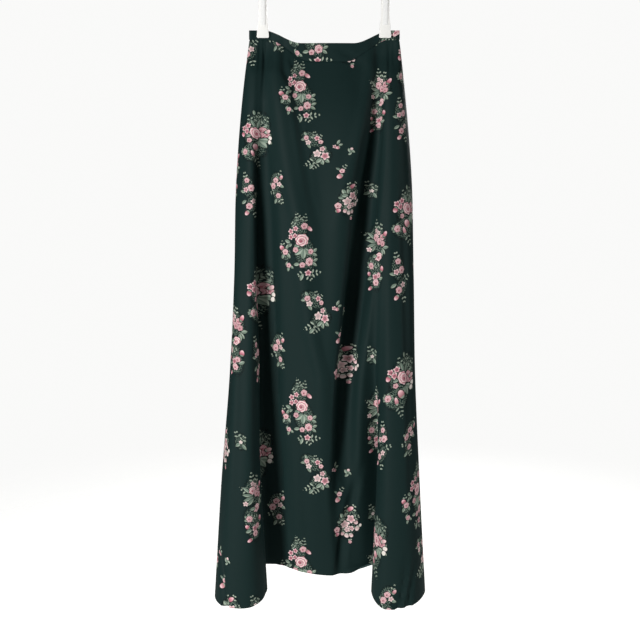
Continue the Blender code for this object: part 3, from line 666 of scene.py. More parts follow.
# Each bouquet: its middle on the cloth (across, down) and its stamps, laid in this order:
# kind, x, y, turn in degrees, length, width (half sizes in mm, y up), tint, count
bouquets = {
    "roseColumn": ((-46, 386), (
        ("foliage", -6, 24, 96, 21, 15, 0.0, 5.5),
        ("foliage", 6, -24, -70, 33, 19, 0.0, 8),
        ("frond", -4, 36, 112, 19, 5.5, 0.35, 6), ("frond", 3, 34, 78, 17, 5, 0.5, 5),
        ("frond", -12, 27, 140, 12, 4.5, 0.2, 4), ("leaf", -29, -4, 155, 5.5, 3, 0.1, 0),
        ("leaf", -25, -11, 205, 5.5, 2.8, 0.3, 0), ("fan", 3, -15, -92, 19, 19, 0.05, 3),
        ("leaf", -9, -11, 215, 7, 3.6, 0.15, 0), ("leaf", 26, -20, 40, 5, 2.6, 0.0, 0),
        ("leaf", 25, -28, -20, 5.5, 2.6, 0.2, 0), ("leaf", 27, -38, 25, 5, 2.4, 0.1, 0),
        ("leaf", 25, -46, -35, 5.5, 2.6, 0.2, 0), ("frond", 16, -64, 8, 22, 6, 0.1, 5),
        ("frond", 10, -66, -48, 15, 5, 0.0, 4), ("leaf", -10, -46, 190, 5.5, 2.8, 0.0, 0),
        ("frond", 4, -62, 205, 14, 5, 0.2, 4), ("leaf", 0, -70, 250, 6.5, 2.8, 0.0, 0),
        ("bud", 14, 22, -38, 6.5, 3.2, 0.1, 0), ("rose", 4, 27, 30, 6, 5.6, 0.25, 5),
        ("blossom", -12, 22, 10, 4.6, 4.6, 0.0, 5), ("blossom", -22, 16, 40, 5, 4.8, 0.0, 5),
        ("blossom", -22, 5, 70, 4.8, 4.8, 0.0, 5), ("blossom", -13, 8, 20, 4.4, 4.4, 0.0, 5),
        ("rose", 0, 0, 15, 11.2, 10.6, 0.0, 7), ("rose", -12, -19, 60, 5, 5, 0.3, 5),
        ("rose", 17, -22, 0, 5, 4.6, 0.2, 5), ("rose", 14, -41, 80, 7.2, 6.8, 0.1, 6),
        ("rose", 1, -47, 20, 5, 4.6, 0.2, 5), ("blossom", 12, -62, 15, 5.8, 5.2, 0.0, 5))),
    "pinkSprig": ((-82, 408), (
        ("foliage", 3, -4, 100, 15, 10, 0.0, 4),
        ("frond", -3, 9, 100, 10, 4, 0.2, 3), ("leaf", 6, 8, 60, 5, 2.4, 0.1, 0),
        ("leaf", 8, -8, -50, 6, 2.8, 0.0, 0), ("leaf", -3, -10, -110, 5, 2.6, 0.2, 0),
        ("bud", -5, 5, 130, 5, 3.6, 0.0, 0), ("rose", 2, -2, 20, 5.4, 5, 0.1, 5),
        ("leaf", 5, -24, 70, 4, 2, 0.1, 0), ("leaf", 15, -30, -30, 4.5, 2.2, 0.1, 0),
        ("leaf", 8, -34, -100, 4.5, 2.2, 0.1, 0), ("rose", 9, -27, 0, 4.4, 4.2, 0.2, 5))),
    "doubleBlossom": ((-6, 532), (
        ("foliage", -1, -4, 20, 20, 15, 0.0, 5),
        ("frond", -12, -13, 205, 24, 6.5, 0.0, 6), ("frond", -6, -17, 232, 17, 6, 0.25, 5),
        ("leaf", 2, -15, -70, 7, 3.6, 0.0, 0), ("leaf", 11, -13, -40, 6, 3.2, 0.1, 0),
        ("leaf", -4, -13, 215, 7, 3.4, 0.0, 0), ("leaf", -20, -26, 230, 5.5, 2.8, 0.1, 0),
        ("leaf", 8, 13, 100, 5, 2.6, 0.2, 0), ("blossom", 3, 12, 0, 5, 5, 0.15, 5),
        ("blossom", -7, 2, 15, 7.4, 7.2, 0.4, 5), ("blossom", 8, -3, 50, 7.6, 7.4, 0.05, 5))),
    "twinSprig": ((-20, 498), (
        ("foliage", -4, -1, -30, 23, 13, 0.0, 5.5),
        ("frond", 4, 4, 100, 13, 4.5, 0.3, 4), ("frond", 9, 0, 50, 12, 4, 0.1, 4),
        ("leaf", -16, 10, 120, 5, 2.4, 0.0, 0), ("leaf", -22, -1, 190, 5, 2.4, 0.2, 0),
        ("leaf", -10, -15, -60, 6, 2.8, 0.0, 0), ("leaf", -2, 3, 150, 4.5, 2.2, 0.1, 0),
        ("rose", -15, 2, 45, 5, 4.6, 0.2, 5), ("blossom", -11, -8, 10, 5.4, 5, 0.4, 5),
        ("blossom", 7, 1, 30, 5, 4.8, 0.0, 5), ("rose", 14, -7, 10, 4.2, 4, 0.1, 5))),
    "starCluster": ((47, 628), (
        ("foliage", 2, 2, 75, 31, 19, 0.0, 7.5),
        ("frond", 4, 24, 115, 15, 5.5, 0.1, 4), ("frond", 9, 25, 62, 16, 5.5, 0.05, 4),
        ("frond", 13, 12, 20, 14, 5, 0.2, 4), ("leaf", -9, 16, 120, 6.2, 3.4, 0.0, 0),
        ("leaf", -1, 19, 80, 6, 3.2, 0.0, 0), ("leaf", -8, 9, 190, 5.6, 3.2, 0.1, 0),
        ("leaf", -15, 4, 170, 4.5, 2.4, 0.4, 0), ("leaf", 12, -8, -30, 5, 2.6, 0.2, 0),
        ("leaf", -6, -12, 230, 5, 2.4, 0.3, 0), ("frond", 2, -22, -70, 16, 5, 0.1, 4),
        ("bud", 6, 28, 32, 7.5, 3.4, 0.0, 0), ("bud", 17, 4, -55, 5, 3.6, 0.35, 0),
        ("bud", 20, -9, 250, 5.2, 3.6, 0.5, 0), ("bud", 26, -3, 70, 3.2, 2.4, 0.8, 0),
        ("rose", -20, -12, 25, 6, 5.6, 0.15, 5), ("bud", -20, -22, 20, 5, 3.4, 0.0, 0),
        ("blossom", -3, -3, 20, 8.2, 7.6, 0.35, 5), ("blossom", 8, 9, 60, 7.4, 7.2, 0.15, 5),
        ("blossom", 9, -10, 0, 4.8, 4.6, 0.2, 5), ("blossom", 1, -14, 40, 4.8, 4.6, 0.3, 5),
        ("bud", -7, -22, 240, 4.2, 3.4, 0.3, 0), ("bud", 0, -26, 270, 4, 3.4, 0.5, 0),
        ("bud", 8, -24, 300, 4, 3.4, 0.4, 0), ("rose", 6, -38, 0, 3, 3, 0.3, 5))),
    "roseFan": ((-143, 488), (
        ("foliage", 2, 8, 70, 36, 25, 0.0, 9),
        ("foliage", -6, -38, 95, 19, 24, 0.0, 7),
        ("frond", -2, 12, 112, 30, 8, 0.45, 7), ("frond", 4, 14, 84, 32, 8, 0.55, 7),
        ("frond", 10, 12, 55, 28, 8, 0.45, 7), ("leaf", -2, 46, 100, 5, 2.4, 0.3, 0),
        ("leaf", -4, 22, 118, 10, 2.8, 0.45, 0), ("leaf", 7, 22, 70, 10, 3, 0.5, 0),
        ("leaf", 17, 14, 38, 9, 2.8, 0.3, 0), ("fan", 8, -12, -58, 20, 17, 0.25, 3),
        ("leaf", -14, -3, 205, 6, 3, 0.3, 0), ("leaf", 28, -6, 55, 7, 2.6, 0.15, 0),
        ("leaf", 30, -18, -50, 5, 2.6, 0.1, 0), ("blossom", -26, 12, 0, 6, 5.6, 0.0, 5),
        ("blossom", -15, 18, 30, 6, 5.6, 0.0, 5), ("blossom", -18, 6, 60, 6, 5.6, 0.0, 5),
        ("bud", -29, 0, 250, 5.5, 4, 0.0, 0), ("rose", 14, 8, 20, 6.6, 6, 0.45, 5),
        ("rose", 22, -1, 50, 6.8, 6, 0.35, 6), ("rose", 13, -2, 0, 5.6, 5.2, 0.5, 5),
        ("bud", 24, 5, 20, 6, 3.6, 0.3, 0), ("rose", 0, 2, 130, 13, 9.5, 0.12, 7),
        ("bud", 29, -9, -20, 4.6, 4, 0.75, 0), ("bud", 27, -18, 90, 4.4, 4, 0.8, 0),
        ("rose", -13, -13, 0, 4.8, 4.6, 0.25, 5), ("bud", 1, -29, 128, 8.5, 5.4, 0.1, 0),
        ("bud", -6, -43, 115, 8, 3, 0.1, 0), ("frond", 0, -50, -62, 26, 6, 0.5, 6),
        ("fan", -24, -38, 90, 10, 11, 0.2, 5), ("fan", -24, -38, -90, 10, 11, 0.2, 5),
        ("rose", -24, -38, 70, 6.4, 6, 0.2, 6))),
    "trailingRoses": ((118, 396), (
        ("foliage", 2, 10, 110, 26, 20, 0.0, 7),
        ("foliage", -8, -52, 100, 32, 18, 0.0, 8),
        ("frond", -2, 28, 98, 20, 6, 0.2, 5), ("frond", 6, 27, 70, 16, 5, 0.1, 4),
        ("frond", -10, 8, 150, 22, 7, 0.3, 6), ("leaf", -16, 4, 172, 10, 2.8, 0.3, 0),
        ("leaf", -15, -3, 196, 10, 3, 0.35, 0), ("leaf", -12, -9, 218, 9, 3, 0.3, 0),
        ("leaf", -17, 14, 140, 9, 2.6, 0.25, 0), ("leaf", 16, -12, -50, 7, 3.2, 0.1, 0),
        ("leaf", 12, -16, -95, 7, 3.2, 0.2, 0), ("leaf", 22, -5, 10, 6, 2.8, 0.2, 0),
        ("blossom", -4, 26, 10, 4.4, 4.2, 0.3, 5), ("blossom", 3, 22, 40, 4.4, 4.2, 0.3, 5),
        ("rose", -5, 13, 20, 7.6, 7, 0.1, 6), ("rose", 5, 6, 60, 6.6, 6.2, 0.3, 6),
        ("rose", 13, 14, 0, 6, 5.6, 0.25, 5), ("bud", 20, 20, 60, 6.5, 3.2, 0.0, 0),
        ("rose", 14, 2, 30, 5.4, 5, 0.4, 5), ("blossom", -22, -12, 10, 4.6, 4.2, 0.3, 5),
        ("rose", 3, -23, 35, 9, 6.4, 0.0, 6), ("leaf", -8, -23, 190, 6, 3, 0.1, 0),
        ("frond", -18, -44, 15, 24, 5, 0.1, 6), ("fan", -17, -42, 100, 10, 10, 0.1, 5),
        ("rose", -17, -42, 0, 6, 5.6, 0.2, 6), ("bud", 12, -46, 75, 5.6, 4, 0.0, 0),
        ("frond", -4, -50, -88, 16, 5, 0.2, 4), ("leaf", -20, -66, 200, 6, 2.8, 0.1, 0),
        ("leaf", 9, -64, 20, 6, 2.8, 0.1, 0), ("bud", -22, -58, 140, 4.4, 3.2, 0.0, 0),
        ("blossom", -6, -62, 0, 6, 5.6, 0.0, 5), ("rose", 2, -58, 30, 5, 4.8, 0.2, 5),
        ("rose", -5, -72, 60, 6, 5.6, 0.1, 6), ("bud", -18, -84, 210, 6, 2.8, 0.0, 0))),
    "budSprig": ((24, 514), (
        ("leaf", 3, 9, 60, 5, 2.2, 0.0, 0), ("leaf", 7, 3, 20, 4, 2, 0.1, 0),
        ("blossom", -4, -1, 0, 3.6, 3.4, 0.1, 5), ("bud", 2, -3, 200, 3.6, 2.8, 0.1, 0))),
    "leafSprig": ((50, 524), (
        ("leaf", -3, 1, 110, 4.4, 2.2, 0.0, 0), ("leaf", 3, -1, -40, 4.2, 2, 0.1, 0),
        ("leaf", -2, -6, 220, 3.8, 2, 0.0, 0), ("bud", 1, 4, 80, 2.6, 2.2, 0.4, 0))),
    "twoBuds": ((32, 568), (
        ("frond", 3, 6, 48, 12, 3.6, 0.2, 4), ("leaf", -5, 5, 150, 5, 2, 0.5, 0),
        ("rose", 2, 1, 30, 4.8, 4.2, 0.05, 5), ("bud", -2, -10, 215, 6, 4, 0.1, 0))),
    "leafySprig": ((-100, 602), (
        ("foliage", -2, 10, 80, 20, 13, 0.0, 5), ("foliage", 4, -20, 110, 15, 10, 0.0, 4.5),
        ("frond", 4, 14, 70, 22, 5.5, 0.3, 5), ("frond", -4, -8, 205, 16, 5, 0.3, 4),
        ("frond", 8, -24, -60, 14, 5, 0.2, 4), ("leaf", -13, 4, 150, 6, 2.8, 0.1, 0),
        ("leaf", 12, 2, -20, 6, 2.8, 0.1, 0), ("leaf", -2, -30, 240, 6, 2.8, 0.2, 0),
        ("rose", -1, 14, 20, 6, 5.6, 0.15, 5), ("rose", -8, 2, 60, 6.4, 6, 0.2, 6),
        ("blossom", 7, 6, 0, 4.8, 4.6, 0.3, 5), ("rose", 5, -18, 30, 5.2, 5, 0.2, 5),
        ("bud", 12, 20, 60, 5, 3, 0.1, 0))),
    "sideTrail": ((-158, 296), (
        ("foliage", -6, 18, 95, 22, 12, 0.0, 5), ("foliage", 4, -18, 75, 18, 11, 0.0, 5),
        ("frond", -8, 34, 105, 16, 5, 0.2, 4), ("frond", 10, -4, 35, 14, 5, 0.3, 4),
        ("frond", 8, -34, -80, 16, 5, 0.1, 4), ("leaf", -16, 6, 170, 6, 2.8, 0.1, 0),
        ("leaf", -14, -16, 215, 6, 2.8, 0.2, 0), ("rose", -6, 30, 20, 5.2, 5, 0.2, 5),
        ("rose", 2, 14, 60, 6.6, 6.2, 0.1, 6), ("blossom", -9, 10, 0, 5.2, 5, 0.1, 5),
        ("rose", -3, -24, 40, 6.2, 5.8, 0.25, 6), ("blossom", 6, -14, 30, 5.4, 5, 0.3, 5),
        ("bud", -8, -38, 230, 5.4, 3.4, 0.1, 0))),
    "greySprig": ((102, 288), (
        ("foliage", 0, 0, 80, 15, 10, 0.3, 5), ("frond", -2, 6, 110, 16, 5, 0.4, 4),
        ("frond", 2, 0, 55, 15, 5, 0.3, 4), ("leaf", -6, -6, 215, 6, 2.8, 0.3, 0),
        ("leaf", 5, -10, -60, 6, 2.8, 0.4, 0), ("blossom", 0, -1, 10, 3.4, 3.2, 0.6, 5))),
}


def repeatTree():
    # Cloth place in mm to the place inside the nearest half-drop repeat of one bouquet.
    tree = bpy.data.node_groups.new("halfDropRepeat", "ShaderNodeTree")
    tree.interface.new_socket("Cloth", in_out="INPUT", socket_type="NodeSocketVector")
    tree.interface.new_socket("Middle", in_out="INPUT", socket_type="NodeSocketVector")
    tree.interface.new_socket("Place", in_out="OUTPUT", socket_type="NodeSocketVector")
    given = addNode(tree, "NodeGroupInput").outputs
    across, down = printRepeat["across"], printRepeat["down"]
    away = addNode(tree, "ShaderNodeVectorMath", {0: given["Cloth"], 1: given["Middle"]},
                   operation="SUBTRACT").outputs[0]
    column = addNode(tree, "ShaderNodeVectorMath", {0: away, 1: (1 / across, 0, 0)},
                     operation="DOT_PRODUCT").outputs["Value"]
    column = addNode(tree, "ShaderNodeMath", {0: column}, operation="ROUND").outputs[0]
    back = addNode(tree, "ShaderNodeVectorMath", {0: (-across, down / 2, 0), "Scale": column},
                   operation="SCALE").outputs[0]
    home = addNode(tree, "ShaderNodeVectorMath", {0: away, 1: back}, operation="ADD").outputs[0]
    place = addNode(tree, "ShaderNodeVectorMath", {0: home, 1: (across, down / 2, 1),
                                                   2: (-across, -down / 2, -1)}, operation="WRAP").outputs[0]
    addNode(tree, "NodeGroupOutput", {"Place": place})
    return tree


def printTree():
    tree = bpy.data.node_groups.new("gardenPrint", "ShaderNodeTree")
    tree.interface.new_socket("Cloth", in_out="INPUT", socket_type="NodeSocketVector")
    tree.interface.new_socket("Colour", in_out="OUTPUT", socket_type="NodeSocketColor")
    repeat = repeatTree()
    cloth = addNode(tree, "NodeGroupInput").outputs[0]
    cloth = addNode(tree, "ShaderNodeVectorMath", {0: cloth, 1: (1 / mm, -1 / mm, 0)},
                    operation="MULTIPLY").outputs[0]
    colour = addNode(tree, "ShaderNodeRGB")
    colour.outputs[0].default_value = linear(inks["ground"])
    colour = colour.outputs[0]
    for (across, down), laid in bouquets.values():
        waiting = addNode(tree, "ShaderNodeVectorMath", {0: colour, 1: (0, 0, 0), 2: cloth},
                          operation="MULTIPLY_ADD").outputs[0]
        local = addNode(tree, "ShaderNodeGroup", node_tree=repeat)
        tree.links.new(waiting, local.inputs["Cloth"])
        local.inputs["Middle"].default_value = (across, -down, 0)
        for kind, x, y, turn, length, width, tint, count in laid:
            colour = addNode(tree, "ShaderNodeGroup", node_tree=stamps[kind], inputs={
                "Under": colour, "Cloth": local.outputs[0], "Place": (x, y, 0),
                "Turn": (0, 0, math.radians(turn)), "Tint": tint,
                "Size": (length * fullness[kind][0], width * fullness[kind][1], 1),
                "Count": count * fullness[kind][2]}).outputs[0]
    addNode(tree, "NodeGroupOutput", {"Colour": colour})
    return tree


gardenPrint = printTree()


crepe = {"roughness": 0.62, "specular": 0.07, "grain": 900.0, "grainStrength": 0.25, "grainDepth": 0.0002,
         "wrongTint": "#4a6361", "wrongShare": 0.62}


def crepeSatin(name, wrong):
    # Crepe satin: a close, smooth face that takes a broad soft light, matt in its grain.
    material = bpy.data.materials.new(name)
    material.use_nodes = True
    tree = material.node_tree
    shader = tree.nodes["Principled BSDF"]
    cloth = addNode(tree, "ShaderNodeUVMap", uv_map="cloth").outputs[0]
    colour = addNode(tree, "ShaderNodeGroup", {"Cloth": cloth}, node_tree=gardenPrint).outputs[0]
    if wrong:  # the inks only half strike through to the back
        colour = addNode(tree, "ShaderNodeMix", {0: crepe["wrongShare"], 6: colour,
                                                 7: linear(crepe["wrongTint"])}, data_type="RGBA").outputs[2]
    tree.links.new(colour, shader.inputs["Base Color"])
    shader.inputs["Roughness"].default_value = crepe["roughness"]
    shader.inputs["Specular IOR Level"].default_value = crepe["specular"]
    place = addNode(tree, "ShaderNodeTexCoord").outputs["Object"]
    grain = addNode(tree, "ShaderNodeTexNoise", {"Vector": place, "Scale": crepe["grain"],
                                                 "Detail": 2.0}).outputs[0]
    bump = addNode(tree, "ShaderNodeBump", {"Height": grain, "Strength": crepe["grainStrength"],
                                            "Distance": crepe["grainDepth"]}).outputs[0]
    tree.links.new(bump, shader.inputs["Normal"])
    return material


rightSide, wrongSide = crepeSatin("printed crepe satin", False), crepeSatin("printed crepe satin back", True)
for piece, node in ((frontPanel, "front_panel"), (backPanel, "back_panel"),
                    (frontBand, "front_waistband"), (backBand, "back_waistband")):
    piece.data.materials.append(rightSide)
    piece.data.materials.append(wrongSide)
    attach(piece, "root")
    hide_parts(node)
print("cloth printed")


# Sewing: a row of stitches along each hem, laid by a node tree on the cloth's own surface.

sewing = {"spacing": 3.4, "length": 2.3, "radius": 0.17, "rowFromEnd": 12, "thread": "#1c2c2a"}


def plainMesh(piece, tree, settings):
    # Runs a node tree once on the piece and keeps its result as the piece's own mesh.
    modifier = piece.modifiers.new(tree.name, "NODES")
    modifier.node_group = tree
    for socket in tree.interface.items_tree:
        if socket.in_out == "INPUT" and socket.name in settings:
            modifier[socket.identifier] = settings[socket.name]
    evaluated = piece.evaluated_get(bpy.context.evaluated_depsgraph_get())
    solid = bpy.data.meshes.new_from_object(evaluated)
    piece.modifiers.remove(modifier)
    piece.data = solid
    piece.data.shade_smooth()
    return piece


def nodeTreeFor(name, sockets):
    tree = bpy.data.node_groups.new(name, "GeometryNodeTree")
    tree.interface.new_socket("Geometry", in_out="INPUT", socket_type="NodeSocketGeometry")
    for socket, kind in sockets:
        tree.interface.new_socket(socket, in_out="INPUT", socket_type="NodeSocket" + kind)
    tree.interface.new_socket("Geometry", in_out="OUTPUT", socket_type="NodeSocketGeometry")
    return tree, addNode(tree, "NodeGroupInput").outputs


def finishTree(tree, instances, material):
    real = addNode(tree, "GeometryNodeRealizeInstances", {0: instances}).outputs[0]
    painted = addNode(tree, "GeometryNodeSetMaterial", {"Geometry": real, "Material": material}).outputs[0]
    addNode(tree, "NodeGroupOutput", {0: painted})
    return tree


def stitchTree():
    tree, given = nodeTreeFor("stitchRow", (("Spacing", "Float"), ("Length", "Float"), ("Radius", "Float"),
                                            ("Thread", "Material")))
    curve = addNode(tree, "GeometryNodeMeshToCurve", {0: given["Geometry"]}).outputs[0]
    spaced = addNode(tree, "GeometryNodeCurveToPoints", {"Curve": curve, "Length": given["Spacing"]},
                     mode="LENGTH").outputs
    turned = addNode(tree, "FunctionNodeAlignRotationToVector", {"Vector": spaced["Tangent"]}, axis="Z")
    vary = addNode(tree, "FunctionNodeRandomValue", {2: 0.86, 3: 1.06, 8: 11}).outputs[1]
    half = addNode(tree, "ShaderNodeMath", {0: given["Length"], 1: vary}, operation="MULTIPLY").outputs[0]
    half = addNode(tree, "ShaderNodeMath", {0: half, 1: 0.5}, operation="MULTIPLY").outputs[0]
    size = addNode(tree, "ShaderNodeCombineXYZ", {0: given["Radius"], 1: given["Radius"], 2: half}).outputs[0]
    bead = addNode(tree, "GeometryNodeMeshUVSphere", {"Segments": 6, "Rings": 5, "Radius": 1.0}).outputs[0]
    laid = addNode(tree, "GeometryNodeInstanceOnPoints", {
        "Points": spaced["Points"], "Instance": bead, "Rotation": turned.outputs[0],
        "Scale": size}).outputs[0]
    return finishTree(tree, laid, given["Thread"])


def surfaceRow(panel, fromEnd):
    # Points of one row on the right side of a panel, counted from the hem.
    columns = panel["columns"]
    rows = len(panel.data.vertices) // (2 * columns)
    first = (rows - fromEnd) * columns
    return [panel.data.vertices[first + column].co.copy() for column in range(columns)]


def polyline(name, points):
    mesh = bpy.data.meshes.new(name)
    mesh.from_pydata(points, [(step, step + 1) for step in range(len(points) - 1)], [])
    piece = bpy.data.objects.new(name, mesh)
    bpy.context.scene.collection.objects.link(piece)
    return piece


def plainMaterial(name, colour, roughness, specular=0.5):
    material = bpy.data.materials.new(name)
    material.use_nodes = True
    shader = material.node_tree.nodes["Principled BSDF"]
    shader.inputs["Base Color"].default_value = linear(colour)
    shader.inputs["Roughness"].default_value = roughness
    shader.inputs["Specular IOR Level"].default_value = specular
    return material, shader


def roughened(material, shader, scale, low, high, bump):
    # Fine wear: roughness that drifts between two values, and a shallow grain.
    tree = material.node_tree
    place = addNode(tree, "ShaderNodeTexCoord").outputs["Object"]
    noise = addNode(tree, "ShaderNodeTexNoise", {"Vector": place, "Scale": scale, "Detail": 3.0}).outputs[0]
    rough = addNode(tree, "ShaderNodeMapRange", {"Value": noise, "From Min": 0.35, "From Max": 0.65,
                                                 "To Min": low, "To Max": high}).outputs[0]
    tree.links.new(rough, shader.inputs["Roughness"])
    raised = addNode(tree, "ShaderNodeBump", {"Height": noise, "Strength": 0.2, "Distance": bump}).outputs[0]
    tree.links.new(raised, shader.inputs["Normal"])
    return material


# Spun polyester thread: matt, a shade lighter than the ground it is sewn on.
thread = plainMaterial("spun polyester thread", sewing["thread"], 0.7, specular=0.2)[0]
stitchRow = stitchTree()
for side, panel in (("front", frontPanel), ("back", backPanel)):
    row = polyline(f"{side}HemStitches", surfaceRow(panel, sewing["rowFromEnd"]))
    plainMesh(row, stitchRow, {"Spacing": sewing["spacing"] * mm, "Thread": thread,
                                                "Length": sewing["length"] * mm,
                                                "Radius": sewing["radius"] * mm})
    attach(row, "root")
print("hems stitched")


# Hanger: one white moulding with a fixed hook, a round bar and two back jaws, and the two front
# jaws that springs hold shut on the waistband. Sizes are the CAD's own.

hanger = {
    "hookInner": 20.0, "rod": 3.2, "tipAngle": 200, "neckAngle": -50, "barDrop": 110.0, "bar": 4.5,
    "barHalf": 127.0, "bossWidth": 18.0, "bossDepth": 8.0, "hookSteps": 56, "sides": 32,
    "clipOffset": 114.0, "jawLow": 186.5, "jawTop": 116.0, "halfLow": 11.5, "halfHigh": 7.5, "corner": 3.0,
    "shoulder": 144.8, "face": 2.8, "thickness": 3.8, "pivotDrop": 148.0, "pivotRadius": 3.2,
    "edge": 0.6, "ribs": 6, "ribPitch": 2.6, "ribRadius": 0.5, "ribTop": 119.0,
    "ribShort": 3.0, "spring": 9.0, "springThickness": 0.8, "springEnd": 163.0, "springSteps": 40,
    "clearance": 0.3, "pivotInset": 1.0, "pivotSteps": 16, "barSteps": 24, "neckSteps": 14, "stemSteps": 6,
    "cornerSteps": 8, "bossEdge": 1.2, "pivotEdge": 0.3, "springEdge": 0.12,
    "bevelAngle": 35, "bevelSteps": 3, "sharpAngle": 40,
    "bossOutline": ((1, 0), (0.86, 8), (0.5, 15), (0.2, 20)),  # share of the half width, and rise
}


def arc(centre, radius, start, end, steps):
    turns = [math.radians(start + (end - start) * step / steps) for step in range(steps + 1)]
    return [(centre[0] + radius * math.cos(turn), centre[1] + radius * math.sin(turn)) for turn in turns]


def pieceFrom(name, points, faces, material, edge=None):
    # One object from points in mm; its sharp edges are rounded when edge is given.
    form = bmesh.new()
    corners = [form.verts.new([value * mm for value in point]) for point in points]
    for face in faces:
        form.faces.new([corners[index] for index in face])
    bmesh.ops.recalc_face_normals(form, faces=form.faces)
    if edge:
        sharp = [line for line in form.edges if line.calc_face_angle(0) > math.radians(hanger["bevelAngle"])]
        bmesh.ops.bevel(form, geom=sharp, offset=edge * mm, segments=hanger["bevelSteps"], profile=0.5,
                        affect="EDGES", clamp_overlap=True)
    mesh = bpy.data.meshes.new(name)
    form.to_mesh(mesh)
    form.free()
    mesh.materials.append(material)
    mesh.shade_smooth()
    mesh.set_sharp_from_angle(angle=math.radians(hanger["sharpAngle"]))
    piece = bpy.data.objects.new(name, mesh)
    bpy.context.scene.collection.objects.link(piece)
    return piece


def rodPiece(name, path, radius, material, domeEnds):
    # Round rod along a path in the plane of X and Z, with a dome at each end that asks for one.
    sides = hanger["sides"]
    path = np.array(path, dtype=float)
    heading = np.gradient(path, axis=0)
    heading /= np.linalg.norm(heading, axis=1)[:, None]
    rings = [(place, along, radius) for place, along in zip(path, heading)]
    for end, forward in ((0, -1), (-1, 1)):
        if domeEnds[end]:
            for turn in (30, 60, 85):
                out = (path[end] + forward * heading[end] * radius * math.sin(math.radians(turn)),
                       heading[end], radius * math.cos(math.radians(turn)))
                rings.insert(0, out) if end == 0 else rings.append(out)
    points = []
    for place, along, reach in rings:
        for side in range(sides):
            turn = 2 * math.pi * side / sides
            sway = reach * math.cos(turn)
            points.append((place[0] - sway * along[1], reach * math.sin(turn), place[1] + sway * along[0]))
    faces = [(ring * sides + side, ring * sides + (side + 1) % sides,
              (ring + 1) * sides + (side + 1) % sides, (ring + 1) * sides + side)
             for ring in range(len(rings) - 1) for side in range(sides)]
    faces += [tuple(range(sides)), tuple((len(rings) - 1) * sides + side for side in range(sides))]
    return pieceFrom(name, points, faces, material)


def platePiece(name, outline, low, high, axis, material, edge):
    # Outline pushed from low to high along Y or X, its edges rounded.
    def corner(point, level):
        return (point[0], level, point[1]) if axis == "Y" else (level, point[0], point[1])
    count = len(outline)
    points = [corner(point, level) for level in (low, high) for point in outline]
    faces = [tuple(range(count)), tuple(range(count, 2 * count))]
    faces += [(step, (step + 1) % count, (step + 1) % count + count, step + count) for step in range(count)]
    return pieceFrom(name, points, faces, material, edge)


def joined(name, pieces):
    # The pieces of one moulding as one mesh.
    form = bmesh.new()
    for piece in pieces:
        form.from_mesh(piece.data)
    mesh = bpy.data.meshes.new(name)
    form.to_mesh(mesh)
    form.free()
    mesh.materials.append(pieces[0].data.materials[0])
    for piece in pieces:
        bpy.data.objects.remove(piece, do_unlink=True)
    whole = bpy.data.objects.new(name, mesh)
    bpy.context.scene.collection.objects.link(whole)
    return whole


def hookPath():
    radius = hanger["hookInner"] + hanger["rod"]
    bowl = arc((0.0, -hanger["hookInner"]), radius, hanger["tipAngle"], hanger["neckAngle"],
               hanger["hookSteps"])
    lean = math.radians(-hanger["neckAngle"])
    neckRadius = radius * math.cos(lean) / (1 - math.cos(lean))
    stemTop = -hanger["hookInner"] - (radius + neckRadius) * math.sin(lean)
    neck = arc((neckRadius, stemTop), neckRadius, 180 + hanger["neckAngle"], 180,
               hanger["neckSteps"])
    stem = [(0.0, stemTop - (hanger["barDrop"] + stemTop) * step / hanger["stemSteps"])
            for step in range(1, hanger["stemSteps"] + 1)]
    return bowl + neck[1:] + stem


def jawOutline(centre, topDrop):
    low, corner = -hanger["jawLow"], hanger["corner"]
    steps = hanger["cornerSteps"]
    left = arc((centre - hanger["halfLow"] + corner, low + corner), corner, 180, 270, steps)
    right = arc((centre + hanger["halfLow"] - corner, low + corner), corner, 270, 360, steps)
    high = hanger["halfHigh"]
    return ([(centre - high, -topDrop), (centre - high, -hanger["shoulder"])] + left + right
            + [(centre + high, -hanger["shoulder"]), (centre + high, -topDrop)])


def ribTree():
    # Grip ribs: round bars across the jaw, one below the other.
    tree, given = nodeTreeFor("gripRibs", (("Count", "Int"), ("Pitch", "Vector"), ("Start", "Vector"),
                                           ("Length", "Float"), ("Radius", "Float"), ("Plastic", "Material")))
    line = addNode(tree, "GeometryNodeMeshLine", {"Count": given["Count"], "Start Location": given["Start"],
                                                  "Offset": given["Pitch"]}).outputs[0]
    rod = addNode(tree, "GeometryNodeMeshCylinder", {"Vertices": 16, "Radius": given["Radius"],
                                                     "Depth": given["Length"]}).outputs[0]
    laid = addNode(tree, "GeometryNodeInstanceOnPoints", {
        "Points": line, "Instance": rod, "Rotation": (0, math.radians(90), 0)}).outputs[0]
    return finishTree(tree, laid, given["Plastic"])


def whiteMoulding():
    # Injection-moulded polypropylene: white, a soft gloss that dulls a little where it is handled.
    material, shader = plainMaterial("moulded polypropylene", "#efeeea", 0.35)
    shader.inputs["Subsurface Weight"].default_value = 0.08
    shader.inputs["Subsurface Radius"].default_value = (0.004, 0.004, 0.004)
    return roughened(material, shader, 260.0, 0.28, 0.42, 0.00004)


def springSteel():
    # Spring steel strip in white enamel: pale and even, a little glossier than the plastic.
    material, shader = plainMaterial("white enamelled spring steel", "#ececea", 0.25)
    return roughened(material, shader, 520.0, 0.22, 0.36, 0.00003)


